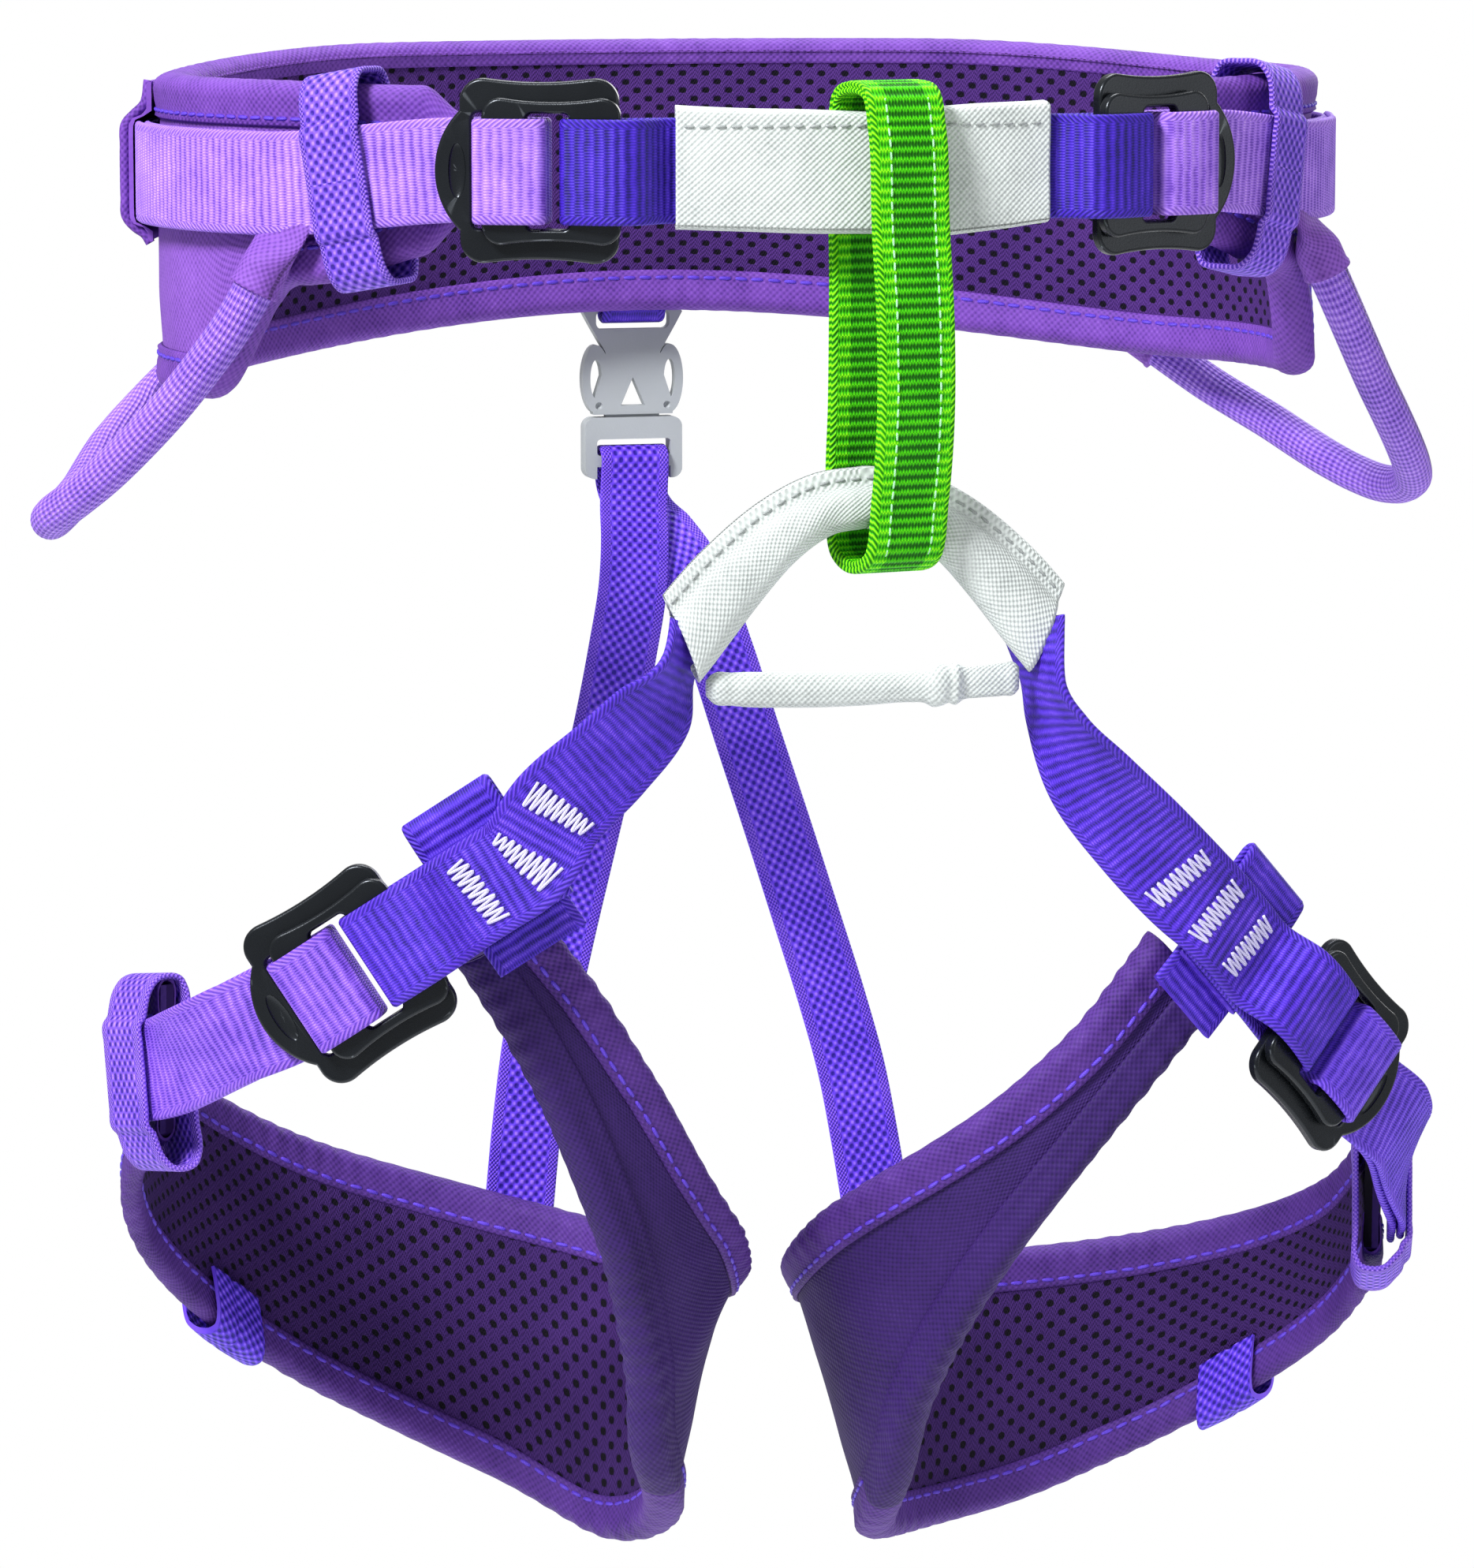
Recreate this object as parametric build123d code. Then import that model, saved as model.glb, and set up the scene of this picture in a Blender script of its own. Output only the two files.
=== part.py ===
from build123d import *
import math
import os

# Climbing harness, worn position, as an assembly of separate pieces. Millimetres.
# Frame: +Z up, -Y is the wearer's front, +X to the right when facing the harness.
# The origin is the centre of the waist ring, at the mid height of the waist webbing.

os.makedirs("parts", exist_ok=True)

# ---- driving dimensions -------------------------------------------------------------------------

WEBBING = 20.0  # width of the load-bearing webbing
WEB_T = 1.5  # its thickness
ELASTIC = 15.0  # width of the elastic risers and keepers
ELASTIC_T = 1.2
GAP = 0.3  # clearance between neighbouring layers

WAIST_A, WAIST_B = 112.0, 80.0  # half width and half depth of the wearer's waist
BELT_DIP = 3.6  # the belt sits this much lower over the hips than in front
THIGH_X, THIGH_Y = 67.5, -17.0  # centre of each thigh
THIGH_A, THIGH_B = 60.8, 51.0  # half width and half depth of each thigh
THIGH_TAPER, TAPER_Z = 0.30, -212.0  # slope of the thigh's inner side below this height

LINER_T, FOAM_T, SHELL_T = 1.4, 4.2, 1.0  # layers of every pad, from the body outward
PAD_T = LINER_T + FOAM_T + SHELL_T
BINDING_T = 0.8  # folded tape round a pad's edges
BINDING_GAP = 0.2
BINDING_FACE = 8.0  # how far the tape reaches over the pad's faces
EDGE_OUT = PAD_T + BINDING_GAP + BINDING_T  # outermost surface of a bound pad
THIN_END = 0.5  # how far a pad is pressed together at its sewn ends

STACK = WEB_T + GAP  # pitch of two webbing layers on each other
SLIDE = 2.0  # travel of a buckle's slider

LEFT, RIGHT = -1, 1
SIDES = ((LEFT, "left"), (RIGHT, "right"))


# ---- points and directions ----------------------------------------------------------------------


def blend(x, low, high):
    """Smooth step from 0 at low to 1 at high."""
    t = min(1.0, max(0.0, (x - low) / (high - low)))
    return t * t * (3 - 2 * t)


def ellipse_point(a, b, angle, out):
    """Point and outward normal of an ellipse, angle 0 at the front (-Y), 90 at +X."""
    s, c = math.sin(math.radians(angle)), math.cos(math.radians(angle))
    normal = Vector(s / a, -c / b, 0).normalized()
    return Vector(a * s, -b * c, 0) + normal * out, normal


def belt_dip(angle):
    """How far the belt hangs below its front height, down to BELT_DIP over the hips."""
    side = abs((angle + 180) % 360 - 180)
    return BELT_DIP * blend(side, 36, 62)


def waist(angle, out, z=0.0):
    return ellipse_point(WAIST_A, WAIST_B, angle, out)[0] + Vector(0, 0, z - belt_dip(angle))


def waist_normal(angle):
    return ellipse_point(WAIST_A, WAIST_B, angle, 0)[1]


def thigh(side, angle, z, out):
    """Point on a thigh: angle 0 at the front, 90 outermost, 180 at the back, 270 innermost."""
    inner_side = 0.5 - 0.5 * math.sin(math.radians(angle))
    inset = THIGH_TAPER * inner_side * max(0.0, TAPER_Z - z)
    point, _ = ellipse_point(THIGH_A - inset, THIGH_B - inset, angle, out)
    return Vector(side * (THIGH_X + point.X), THIGH_Y + point.Y, z)


def thigh_normal(side, angle):
    normal = ellipse_point(THIGH_A, THIGH_B, angle, 0)[1]
    return Vector(side * normal.X, normal.Y, 0)


def spline_value(values, t):
    """Catmull-Rom value of a list at t, counted in list places."""
    last = len(values) - 1
    i = min(int(t), last - 1)
    u = t - i
    p1, p2 = values[i], values[i + 1]
    p0 = values[i - 1] if i > 0 else p1 * 2 - p2
    p3 = values[i + 2] if i + 2 <= last else p2 * 2 - p1
    return (
        p1
        + (p2 - p0) * (0.5 * u)
        + (p0 * 2 - p1 * 5 + p2 * 4 - p3) * (0.5 * u * u)
        + (p1 * 3 - p0 - p2 * 3 + p3) * (0.5 * u * u * u)
    )


def spline_points(points, per_span):
    spans = len(points) - 1
    return [spline_value(points, i / per_span) for i in range(spans * per_span + 1)]


# ---- solids -------------------------------------------------------------------------------------


def polygon(points):
    return Face(Wire.make_polygon(points))


def wall(a, b, c, d):
    """One flat face through four points, or two triangles where they aren't in one plane."""
    normal = (b - a).cross(c - a)
    if abs((d - a).dot(normal)) < 1e-6 * max(normal.length, 1e-9):
        return [polygon([a, b, c, d])]
    if (c - a).length < (d - b).length:
        return [polygon([a, b, c]), polygon([a, c, d])]
    return [polygon([a, b, d]), polygon([b, c, d])]


def closed(faces):
    """Solid inside a closed set of faces."""
    solid = Solid(Shell(faces))
    return Solid(Shell([-face for face in faces])) if solid.volume < 0 else solid


def skin(rings):
    """Closed solid through a row of matching flat polygons."""
    faces = [polygon(rings[0]), polygon(rings[-1])]
    for low, high in zip(rings, rings[1:]):
        for i in range(len(low)):
            j = (i + 1) % len(low)
            faces += wall(low[i], low[j], high[j], high[i])
    return closed(faces)


def ribbon(path, across, width, thickness):
    """Flat strap along path; across holds the direction of its width at each point."""
    rings = []
    for i, point in enumerate(path):
        along = path[min(i + 1, len(path) - 1)] - path[max(i - 1, 0)]
        w = across[i].normalized()
        w = (w - along.normalized() * w.dot(along.normalized())).normalized()
        n = along.cross(w).normalized()
        half, rise = w * (width / 2), n * (thickness / 2)
        rings.append([point - half - rise, point + half - rise, point + half + rise, point - half + rise])
    return skin(rings)


def profiled(frames, profile):
    """Solid whose section at each frame (centre, up, normal, half height) is profile(half height)."""
    return skin([[c + up * a + n * b for a, b in profile(h)] for c, up, n, h in frames])


def layer(low, high):
    """Section of one pad layer between two offsets from the body."""
    return lambda h: [(-h, low), (h, low), (h, high), (-h, high)]


def edge_channel(sign):
    """Section of the folded tape over a pad's upper (1) or lower (-1) edge."""

    def section(h):
        reach = min(BINDING_FACE, h - 1.0)
        wall_t = BINDING_GAP + BINDING_T
        points = [
            (h - reach, -wall_t), (h + wall_t, -wall_t), (h + wall_t, EDGE_OUT), (h - reach, EDGE_OUT),
            (h - reach, PAD_T + BINDING_GAP), (h + BINDING_GAP, PAD_T + BINDING_GAP),
            (h + BINDING_GAP, -BINDING_GAP), (h - reach, -BINDING_GAP),
        ]
        return [(sign * a, b) for a, b in points]

    return section


def pad_pieces(name, frames):
    """The four pieces of one pad: mesh liner, foam, outer shell and edge binding."""
    foam_top = LINER_T + FOAM_T
    keep(name + "_liner", profiled(frames, layer(0, LINER_T)))
    keep(name + "_foam", profiled(frames, layer(LINER_T, foam_top)))
    keep(name + "_shell", profiled(frames, layer(foam_top, PAD_T)))
    keep(name + "_binding", *[profiled(frames, edge_channel(sign)) for sign in (1, -1)])


def keep(name, *solids):
    """Writes one named piece, of one or more separate solids."""
    shape = solids[0] if len(solids) == 1 else Compound(children=list(solids))
    shape.label = name
    export_step(shape, f"parts/{name}.step")


# ---- waist belt ---------------------------------------------------------------------------------

TIP = 39.0  # angle of the padded belt's two front tips
PAD_TOP = 18.7
MAIN_OUT = EDGE_OUT + GAP + WEB_T / 2  # waist webbing, inner layer
TAIL_OUT = MAIN_OUT + STACK  # its folded-back tail
COVER_OUT = TAIL_OUT + WEB_T / 2 + GAP
COVER_T = 0.9
BUCKLE_OUT = COVER_OUT  # the underside of the buckles


def waist_edges(angle):
    """Heights of the pad's lower and upper edge; angle runs from one tip to the other."""
    side = angle if angle <= 180 else 360 - angle
    tip = 0.62 + 0.38 * blend(side, TIP, TIP + 5)
    top = (15.0 + (PAD_TOP - 15.0) * blend(side, TIP, 62) + BELT_DIP * blend(side, 100, 150)) * tip
    drop = 14.6 * tip + 4.4 * blend(side, TIP, 58) + 23.6 * blend(side, 60, 78) - 8.6 * blend(side, 112, 180)
    return -drop, top


def waist_frames():
    frames = []
    count = 48
    for i in range(count + 1):
        angle = TIP + (360 - 2 * TIP) * i / count
        low, high = waist_edges(angle)
        centre = waist(angle, 0, (low + high) / 2)
        thin = THIN_END + (1 - THIN_END) * blend(min(i, count - i), 0, 3)
        frames.append((centre, Vector(0, 0, 1), waist_normal(angle) * thin, (high - low) / 2))
    return frames


def cover_section(height_low, height_high):
    """Section of the fabric tunnel over the webbing at the back: a shallow channel."""
    inner, outer, low, high = COVER_OUT, COVER_OUT + COVER_T, height_low, height_high
    foot = EDGE_OUT + GAP
    return [
        (low, foot), (low + 2, outer), (high - 2, outer), (high, foot),
        (high - COVER_T, foot), (high - 2 - COVER_T, inner), (low + 2 + COVER_T, inner), (low + COVER_T, foot),
    ]


def webbing_cover():
    frames = []
    for i in range(31):
        angle = 96 + 168 * i / 30
        frames.append((waist(angle, 0), Vector(0, 0, 1), waist_normal(angle), 1))
    return profiled(frames, lambda _: cover_section(-14.0, 17.6))


def band(plane, length, width, height):
    """Closed elastic band: a rectangular ring round width by height, length along the strap."""
    outer = RectangleRounded(width + 2 * ELASTIC_T, height + 2 * ELASTIC_T, 2.2)
    inner = RectangleRounded(width, height, 1.2)
    return plane * extrude(outer - inner, length / 2, both=True)


KEEPER_LEAN = 10.0  # the waist keepers' feet lean this many degrees towards the front


def waist_keeper(side):
    """Elastic band round the belt's front end and its webbing."""
    angle = 51.5
    low, high = waist_edges(angle)
    inner, outer = -BINDING_T - 1.0, TAIL_OUT + WEB_T / 2 + 0.6
    normal = waist_normal(side * angle)
    centre = waist(side * angle, (inner + outer) / 2, (low + high) / 2)
    lean = math.radians(-KEEPER_LEAN * side)
    along = Vector(0, 0, 1).cross(normal) * math.cos(lean) + Vector(0, 0, 1) * math.sin(lean)
    plane = Plane(origin=centre, x_dir=normal, z_dir=along)
    return band(plane, ELASTIC, outer - inner, high - low + 2 * BINDING_T + 5.8)


# ---- double-back buckles ------------------------------------------------------------------------

# In a buckle's own frame X runs along the strap towards its sewn loop, Y along the bars, Z outward.
BASE_X = (-14.0, 16.5)
BASE_Y = 18.3
TAB_X = -18.8
BASE_T = 2.5
BASE_WINDOW = (-11.5, 7.5)
SLIDER_X = (-9.3, 17.3)
SLIDER_Y = 14.6
SLIDER_T = 2.5
SLIDER_WINDOW = (-0.7, 7.5)
SLOT_Y = 10.9
SLIDER_Z = BASE_T + GAP
LOOP_HIGH = SLIDER_Z + SLIDER_T + GAP + WEB_T / 2  # webbing over the slider
LOOP_LOW = -GAP - WEB_T / 2  # webbing under the base


def plate(x_range, half, waisting, corner, thick, window, tab=None):
    """Rounded plate with pinched sides, a window for the webbing and, on the base, a pull tab."""
    left, right = x_range
    middle = (left + right) / 2
    top = ThreePointArc((left, half), (middle, half - waisting), (right, half))
    end = Line((right, half), (right, -half))
    foot = ThreePointArc((right, -half), (middle, -half + waisting), (left, -half))
    if tab is None:
        front = [Line((left, -half), (left, half))]
    else:
        reach = 0.62 * half
        front = [
            Line((left, -half), (left, -reach)),
            ThreePointArc((left, -reach), (tab, 0), (left, reach)),
            Line((left, reach), (left, half)),
        ]
    face = make_face([top, end, foot, *front])
    corners = [v for v in face.vertices() if abs(abs(v.Y) - half) < 1e-3]
    face = fillet(corners, corner)
    opening = Pos((window[0] + window[1]) / 2, 0) * RectangleRounded(window[1] - window[0], 2 * SLOT_Y, 1.2)
    solid = extrude(face - opening, thick)
    rims = [e for e in solid.edges() if abs(e.center().Z - thick) < 1e-3 or abs(e.center().Z) < 1e-3]
    return fillet(rims, 0.7).solid()


def buckle_base():
    body = plate(BASE_X, BASE_Y, 1.6, 4.5, BASE_T, BASE_WINDOW, TAB_X)
    dish = Pos(TAB_X + 4.4, 0, BASE_T) * scale(Sphere(1), (1.7, 5.2, 0.7))
    return body - dish


def buckle_slider():
    return Pos(0, 0, SLIDER_Z) * plate(SLIDER_X, SLIDER_Y, 1.5, 3.6, SLIDER_T, SLIDER_WINDOW)


def arc_points(centre, radius, start, stop, count=5):
    """Points of an arc in a buckle's X-Z plane, angles in degrees from +X towards +Z."""
    points = []
    for i in range(count):
        a = math.radians(start + (stop - start) * i / (count - 1))
        points.append((centre[0] + radius * math.cos(a), centre[1] + radius * math.sin(a)))
    return points


def strap_turn():
    """Path of the adjusting strap round the slider's bar, from the tail below to the main strap."""
    rise = SLIDER_X[0] - GAP - WEB_T / 2
    fall = SLIDER_WINDOW[0] + SLIDE + GAP + WEB_T / 2
    deep = LOOP_LOW - STACK
    r = 1.4
    return (
        arc_points((rise - r, LOOP_LOW + r), r, -90, 0)
        + arc_points((rise + r, LOOP_HIGH - r), r, 180, 90)
        + arc_points((fall - r, LOOP_HIGH - r), r, 90, 0)
        + arc_points((fall - r, deep + r), r, 0, -90)
    )


def loop_turn():
    """Path of the sewn loop round both frames' far bars, from above to below."""
    near = BASE_WINDOW[1] - GAP - WEB_T / 2
    r = 1.4
    return arc_points((near + r, LOOP_HIGH - r), r, 90, 180) + arc_points((near + r, LOOP_LOW + r), r, 180, 270)


def at(plane, pair, y=0.0):
    """A point of a buckle's X-Z plane in the row frame."""
    return plane.from_local_coords(Vector(pair[0], y, pair[1]))


WAIST_BUCKLE_ANGLE = 30.8


def waist_buckle_plane(side):
    normal = waist_normal(side * WAIST_BUCKLE_ANGLE)
    origin = waist(side * WAIST_BUCKLE_ANGLE, BUCKLE_OUT)
    return Plane(origin=origin, x_dir=Vector(0, 0, 1).cross(normal) * -side, z_dir=normal)


def keep_buckle(name, plane):
    keep(name + "_base", plane * buckle_base())
    keep(name + "_slider", plane * buckle_slider())


# ---- waist webbing and upper tie-in -------------------------------------------------------------

TAIL_END = {LEFT: 101.0, RIGHT: 87.0}
TIE_X = 37.0  # half length of the upper protective sleeve
TIE_OUT = TAIL_OUT  # webbing centre inside the sleeve, lower layer


def waist_webbing():
    """One strap: right tail, right buckle, round the back, left buckle, left tail."""

    def half(side):
        plane = waist_buckle_plane(side)
        lift = 1.6 if side == RIGHT else 0.0
        tail = [
            waist(side * a, TAIL_OUT + lift * blend(a, 80, 87))
            for a in [TAIL_END[side] - (TAIL_END[side] - 42) * i / 12 for i in range(13)]
        ]
        turn = [at(plane, p) for p in strap_turn()]
        main = [waist(side * (42 + 138 * i / 36), MAIN_OUT) for i in range(37)]
        return tail + turn + main

    left, right = half(LEFT), half(RIGHT)
    path = right + left[-2::-1]
    return ribbon(path, [Vector(0, 0, 1)] * len(path), WEBBING, WEB_T)


def tie_in_webbing():
    """Centre webbing with a sewn loop round each buckle's far bar."""
    high, low = TIE_OUT + STACK, TIE_OUT

    def end(side):
        plane = waist_buckle_plane(side)
        reach = SLIDER_X[1] + SLIDE + 0.8
        top = [at(plane, (reach, LOOP_HIGH))] + [at(plane, p) for p in loop_turn()] + [at(plane, (reach, LOOP_LOW))]
        bottom = [waist(side * a, low) for a in (18.4, 15, 11, 7)]
        return top, bottom

    left_top, left_bottom = end(LEFT)
    right_top, right_bottom = end(RIGHT)
    middle = [waist(a, high) for a in (-18.4, -14, -9, -4, 0, 4, 9, 14, 18.4)]
    path = left_bottom[::-1] + left_top[::-1] + middle + right_top + right_bottom
    return ribbon(path, [Vector(0, 0, 1)] * len(path), WEBBING, WEB_T)


def tie_in_sleeve():
    """Protective fabric sleeve over the middle of the tie-in webbing."""
    frames = []
    for i in range(15):
        angle = -17.6 + 35.2 * i / 14
        frames.append((waist(angle, TIE_OUT + STACK / 2), Vector(0, 0, 1), waist_normal(angle), 1))
    wall_t = 0.9
    in_h, in_t = WEBBING / 2 + GAP, STACK / 2 + WEB_T / 2 + GAP
    outer = profiled(frames, lambda _: [(-12.5, -in_t), (-12.5, in_t), (-11.3, in_t + wall_t), (11.3, in_t + wall_t),
                                        (12.5, in_t), (12.5, -in_t), (11.3, -in_t - wall_t), (-11.3, -in_t - wall_t)])
    first, last = frames[0], frames[-1]
    longer = [(first[0] + (first[0] - frames[1][0]) * 0.2, *first[1:])] + frames[1:-1]
    longer.append((last[0] + (last[0] - frames[-2][0]) * 0.2, *last[1:]))
    inner = profiled(longer, lambda _: [(-in_h, -in_t), (in_h, -in_t), (in_h, in_t), (-in_h, in_t)])
    return outer - inner


# ---- belay loop and lower tie-in ----------------------------------------------------------------

BELAY_W, BELAY_T = 16.0, 2.4
BELAY_X = 4.0
BELAY_YAW = 12.0  # the loop hangs turned a little to the right
TIE_Y = -(WAIST_B + TIE_OUT + STACK / 2)  # middle of the tie-in webbing stack

# Middle line of the belay loop: depth behind the tie-in webbing and height, once round.
BELAY_LOOP = [
    (0, 15.6), (-5.8, 14.4), (-8.2, 8.0), (-9.8, -10.0), (-12.0, -30.0), (-12.0, -48.0), (-10.0, -62.0),
    (-6.6, -73.6), (0, -75.7), (6.6, -73.6), (8.6, -62.0), (7.8, -45.0), (7.4, -22.0), (7.6, 2.0),
    (5.8, 14.2),
]


def belay_loop():
    turn = math.radians(BELAY_YAW)
    depth = Vector(-math.sin(turn), math.cos(turn), 0)
    count = len(BELAY_LOOP)
    points = [Vector(BELAY_X, TIE_Y, z) + depth * d for d, z in BELAY_LOOP]
    wrapped = spline_points(points[-2:] + points + points[:3], 4)[8 : 8 + 4 * count]
    rings = []
    w = Vector(math.cos(turn), math.sin(turn), 0) * (BELAY_W / 2)
    for i, point in enumerate(wrapped):
        along = (wrapped[(i + 1) % len(wrapped)] - wrapped[i - 1]).normalized()
        n = along.cross(w).normalized() * (BELAY_T / 2)
        rings.append([point - w - n, point + w - n, point + w + n, point - w + n])
    faces = []
    for i, low in enumerate(rings):
        high = rings[(i + 1) % len(rings)]
        for j in range(4):
            faces += wall(low[j], low[(j + 1) % 4], high[(j + 1) % 4], high[j])
    return closed(faces)


# Middle line of the lower tie-in tube: x and z, from its middle to its right end.
ARCH = [(0, -62.4), (9, -63.8), (18, -69.0), (27, -77.6), (36.4, -88.6)]
ARCH_Y = TIE_Y
ARCH_WALL = 0.9
ARCH_END_LEAN = 0.41  # slope of the sleeve's cut ends


def arch_frames(stretch=0.0):
    """Frames of the lower tie-in tube from left to right, ends pushed out by stretch."""
    right = spline_points([Vector(x, ARCH_Y, z) for x, z in ARCH], 3)
    left = [Vector(-p.X, p.Y, p.Z) for p in right[:0:-1]]
    path = left + right
    path[0] += (path[0] - path[1]).normalized() * stretch
    path[-1] += (path[-1] - path[-2]).normalized() * stretch
    frames = []
    for i, point in enumerate(path):
        along = (path[min(i + 1, len(path) - 1)] - path[max(i - 1, 0)]).normalized()
        t = i / (len(path) - 1) * 2 - 1
        lean = Vector(math.copysign(ARCH_END_LEAN, t), 0, 1).normalized() * abs(t) ** 3
        up = (along.cross(Vector(0, 1, 0)) * (1 - abs(t) ** 3) + lean).normalized()
        frames.append((point, up, Vector(0, 1, 0), abs(t)))
    return frames


def rounded_section(half_w, half_t):
    """Eight-sided section, half_w along the first direction and half_t along the second."""
    a, b = half_w, half_t
    c, d = a - 0.45 * b, 0.5 * b
    return [(-a, -d), (-c, -b), (c, -b), (a, -d), (a, d), (c, b), (-c, b), (-a, d)]


def arch_half(t):
    """Half height and half thickness of the lower sleeve, t from 0 in the middle to 1 at an end."""
    return 6.0 + 3.2 * t * t, 4.2 - 0.5 * t * t


def lower_tie_in_sleeve():
    outer = profiled(arch_frames(), lambda t: rounded_section(*arch_half(t)))
    hollow = lambda t: rounded_section(arch_half(t)[0] - ARCH_WALL, arch_half(t)[1] - ARCH_WALL)
    return outer - profiled(arch_frames(1.0), hollow)


def lower_tie_in_webbing():
    """The rolled webbing inside the sleeve."""
    core = lambda t: rounded_section(arch_half(t)[0] - ARCH_WALL - 0.6, arch_half(t)[1] - ARCH_WALL - 0.6)
    return profiled(arch_frames()[2:-2], core)


def tie_in_retainer():
    """Braided tape under the lower tie-in, rolled at its left and flat with a knot at its right."""
    stations = [
        (-30.6, 2.8, 1.4), (-26, 3.5, 2.0), (-15, 3.7, 2.4), (0, 3.3, 2.2), (11, 3.0, 1.9), (15, 4.2, 2.8),
        (18.5, 4.0, 2.4), (19.6, 2.9, 1.0), (26, 3.2, 0.9), (31.0, 2.9, 0.8),
    ]
    rings = []
    for x, half_w, half_t in stations:
        centre = Vector(x, ARCH_Y + 1.0, -99.5 + 0.0012 * x * x)
        rings.append([centre + Vector(0, b, a) for a, b in rounded_section(half_w, half_t)])
    return skin(rings)


# ---- leg loops ----------------------------------------------------------------------------------

# Each leg pad's edges, from its front top end down round the inner thigh to its outer end at the
# back: angle and height of the upper edge, angle and height of the lower edge.
LEG_PAD = {
    LEFT: [
        (-11, -149.5, 5, -156.5), (-19, -161.0, -2, -169.0), (-30, -178.3, -10, -186.0),
        (-48, -204.0, -21, -214.0), (-72, -221.5, -32, -240.0), (-95, -227.0, -44, -262.0),
        (-114, -227.0, -78, -278.0), (-137, -224.0, -120, -285.0), (-163, -218.5, -160, -275.5),
        (-192, -208.5, -191, -261.5), (-219, -194.0, -217, -244.0), (-246, -177.5, -243, -224.0),
        (-269, -165.0, -267, -205.0), (-290, -160.0, -289, -191.0),
    ],
    RIGHT: [
        (-5, -157.0, 7, -170.5), (-17, -173.5, -7, -189.0), (-35, -190.5, -21, -209.0),
        (-59, -206.0, -35, -230.0), (-84, -220.0, -50, -252.0), (-103, -227.5, -66, -272.0),
        (-124, -233.0, -92, -284.0), (-147, -237.0, -132, -290.5), (-176, -238.5, -175, -291.0),
        (-204, -236.5, -204, -283.0), (-230, -230.0, -230, -269.0), (-254, -219.5, -254, -253.0),
        (-272, -208.0, -272, -239.5), (-293, -199.5, -293, -227.0),
    ],
}
PAD_STEPS = 4  # frames per station


def leg_pad_frames(side):
    stations = [Vector(u, zu, 0) for u, zu, _, _ in LEG_PAD[side]]
    lowers = [Vector(a, za, 0) for _, _, a, za in LEG_PAD[side]]
    frames = []
    last = PAD_STEPS * (len(stations) - 1)
    for high, low in zip(spline_points(stations, PAD_STEPS), spline_points(lowers, PAD_STEPS)):
        top, foot = thigh(side, high.X, high.Y, 0), thigh(side, low.X, low.Y, 0)
        up = (top - foot).normalized()
        out = thigh_normal(side, (high.X + low.X) / 2)
        thin = THIN_END + (1 - THIN_END) * blend(last - len(frames), 7, 16)
        out = (out - up * out.dot(up)).normalized() * thin
        frames.append(((top + foot) * 0.5, up, out, (top - foot).length / 2))
    return frames


# Angle and height on the thigh of each leg's buckle, stitched strap end and outer keeper.
LEG_BUCKLE = {LEFT: (25.5, -153.5), RIGHT: (28.0, -177.0)}
LEG_TACK = {LEFT: (1.0, -133.8), RIGHT: (7.5, -152.4)}
LEG_KEEPER = {LEFT: (74.0, -178.0), RIGHT: (73.5, -217.0)}
LEG_END_SLOPE = {LEFT: 0.15, RIGHT: 0.55}  # fall of the adjusting strap where it meets the keeper
LEG_LOW_OUT = EDGE_OUT + 2 * STACK + GAP + WEB_T / 2  # lower layer of the front strap
LEG_BUCKLE_OUT = LEG_LOW_OUT - LOOP_LOW
LEG_STRAP_OUT = THIN_END * EDGE_OUT + 2 * GAP + WEB_T / 2  # adjusting strap on the pad's thin end

# Middle line of each front strap from the lower tie-in down to its stitched end, and its width
# direction at the same places.
FRONT_STRAP = {
    LEFT: [
        ((-37.2, -91.5, -94.5), (-0.40, -0.78, 0.48)), ((-41.6, -91.2, -102.3), (-0.65, -0.42, 0.62)),
        ((-50.2, -90.8, -111.4), (-0.64, -0.20, 0.74)), ((-60.2, -90.2, -120.5), (-0.60, 0, 0.80)),
    ],
    RIGHT: [
        ((35.6, -91.5, -98.6), (0.10, -0.97, 0.10)), ((38.6, -91.3, -106.5), (0.25, -0.93, 0.20)),
        ((46.1, -91.0, -118.9), (0.55, -0.62, 0.50)), ((57.0, -90.0, -131.1), (0.74, -0.30, 0.60)),
        ((66.4, -88.6, -140.6), (0.74, 0, 0.67)),
    ],
}


def leg_buckle_plane(side):
    angle, z = LEG_BUCKLE[side]
    normal = thigh_normal(side, angle)
    origin = thigh(side, angle, z, LEG_BUCKLE_OUT)
    tack_angle, tack_z = LEG_TACK[side]
    towards = thigh(side, tack_angle, tack_z, LEG_BUCKLE_OUT) - origin
    towards = towards - normal * towards.dot(normal)
    return Plane(origin=origin, x_dir=towards, z_dir=normal)


def front_strap(side):
    """Webbing from the lower tie-in, round the leg buckle's far bars and back under itself."""
    plane = leg_buckle_plane(side)
    across = plane.y_dir if plane.y_dir.Z > 0 else plane.y_dir * -1
    step = LEG_LOW_OUT + STACK - LEG_BUCKLE_OUT
    free = [Vector(*p) for p, _ in FRONT_STRAP[side]]
    turn = [at(plane, (x, step)) for x in (40, 34, 27)]
    turn += [at(plane, (SLIDER_X[1] + SLIDE + 1.0, LOOP_HIGH))]
    turn += [at(plane, p) for p in loop_turn()]
    turn += [at(plane, (x, LOOP_LOW)) for x in (24, 34, 46)]
    widths = [Vector(*w) for _, w in FRONT_STRAP[side]] + [across] * len(turn)
    return ribbon(free + turn, widths, WEBBING, WEB_T)


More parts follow.
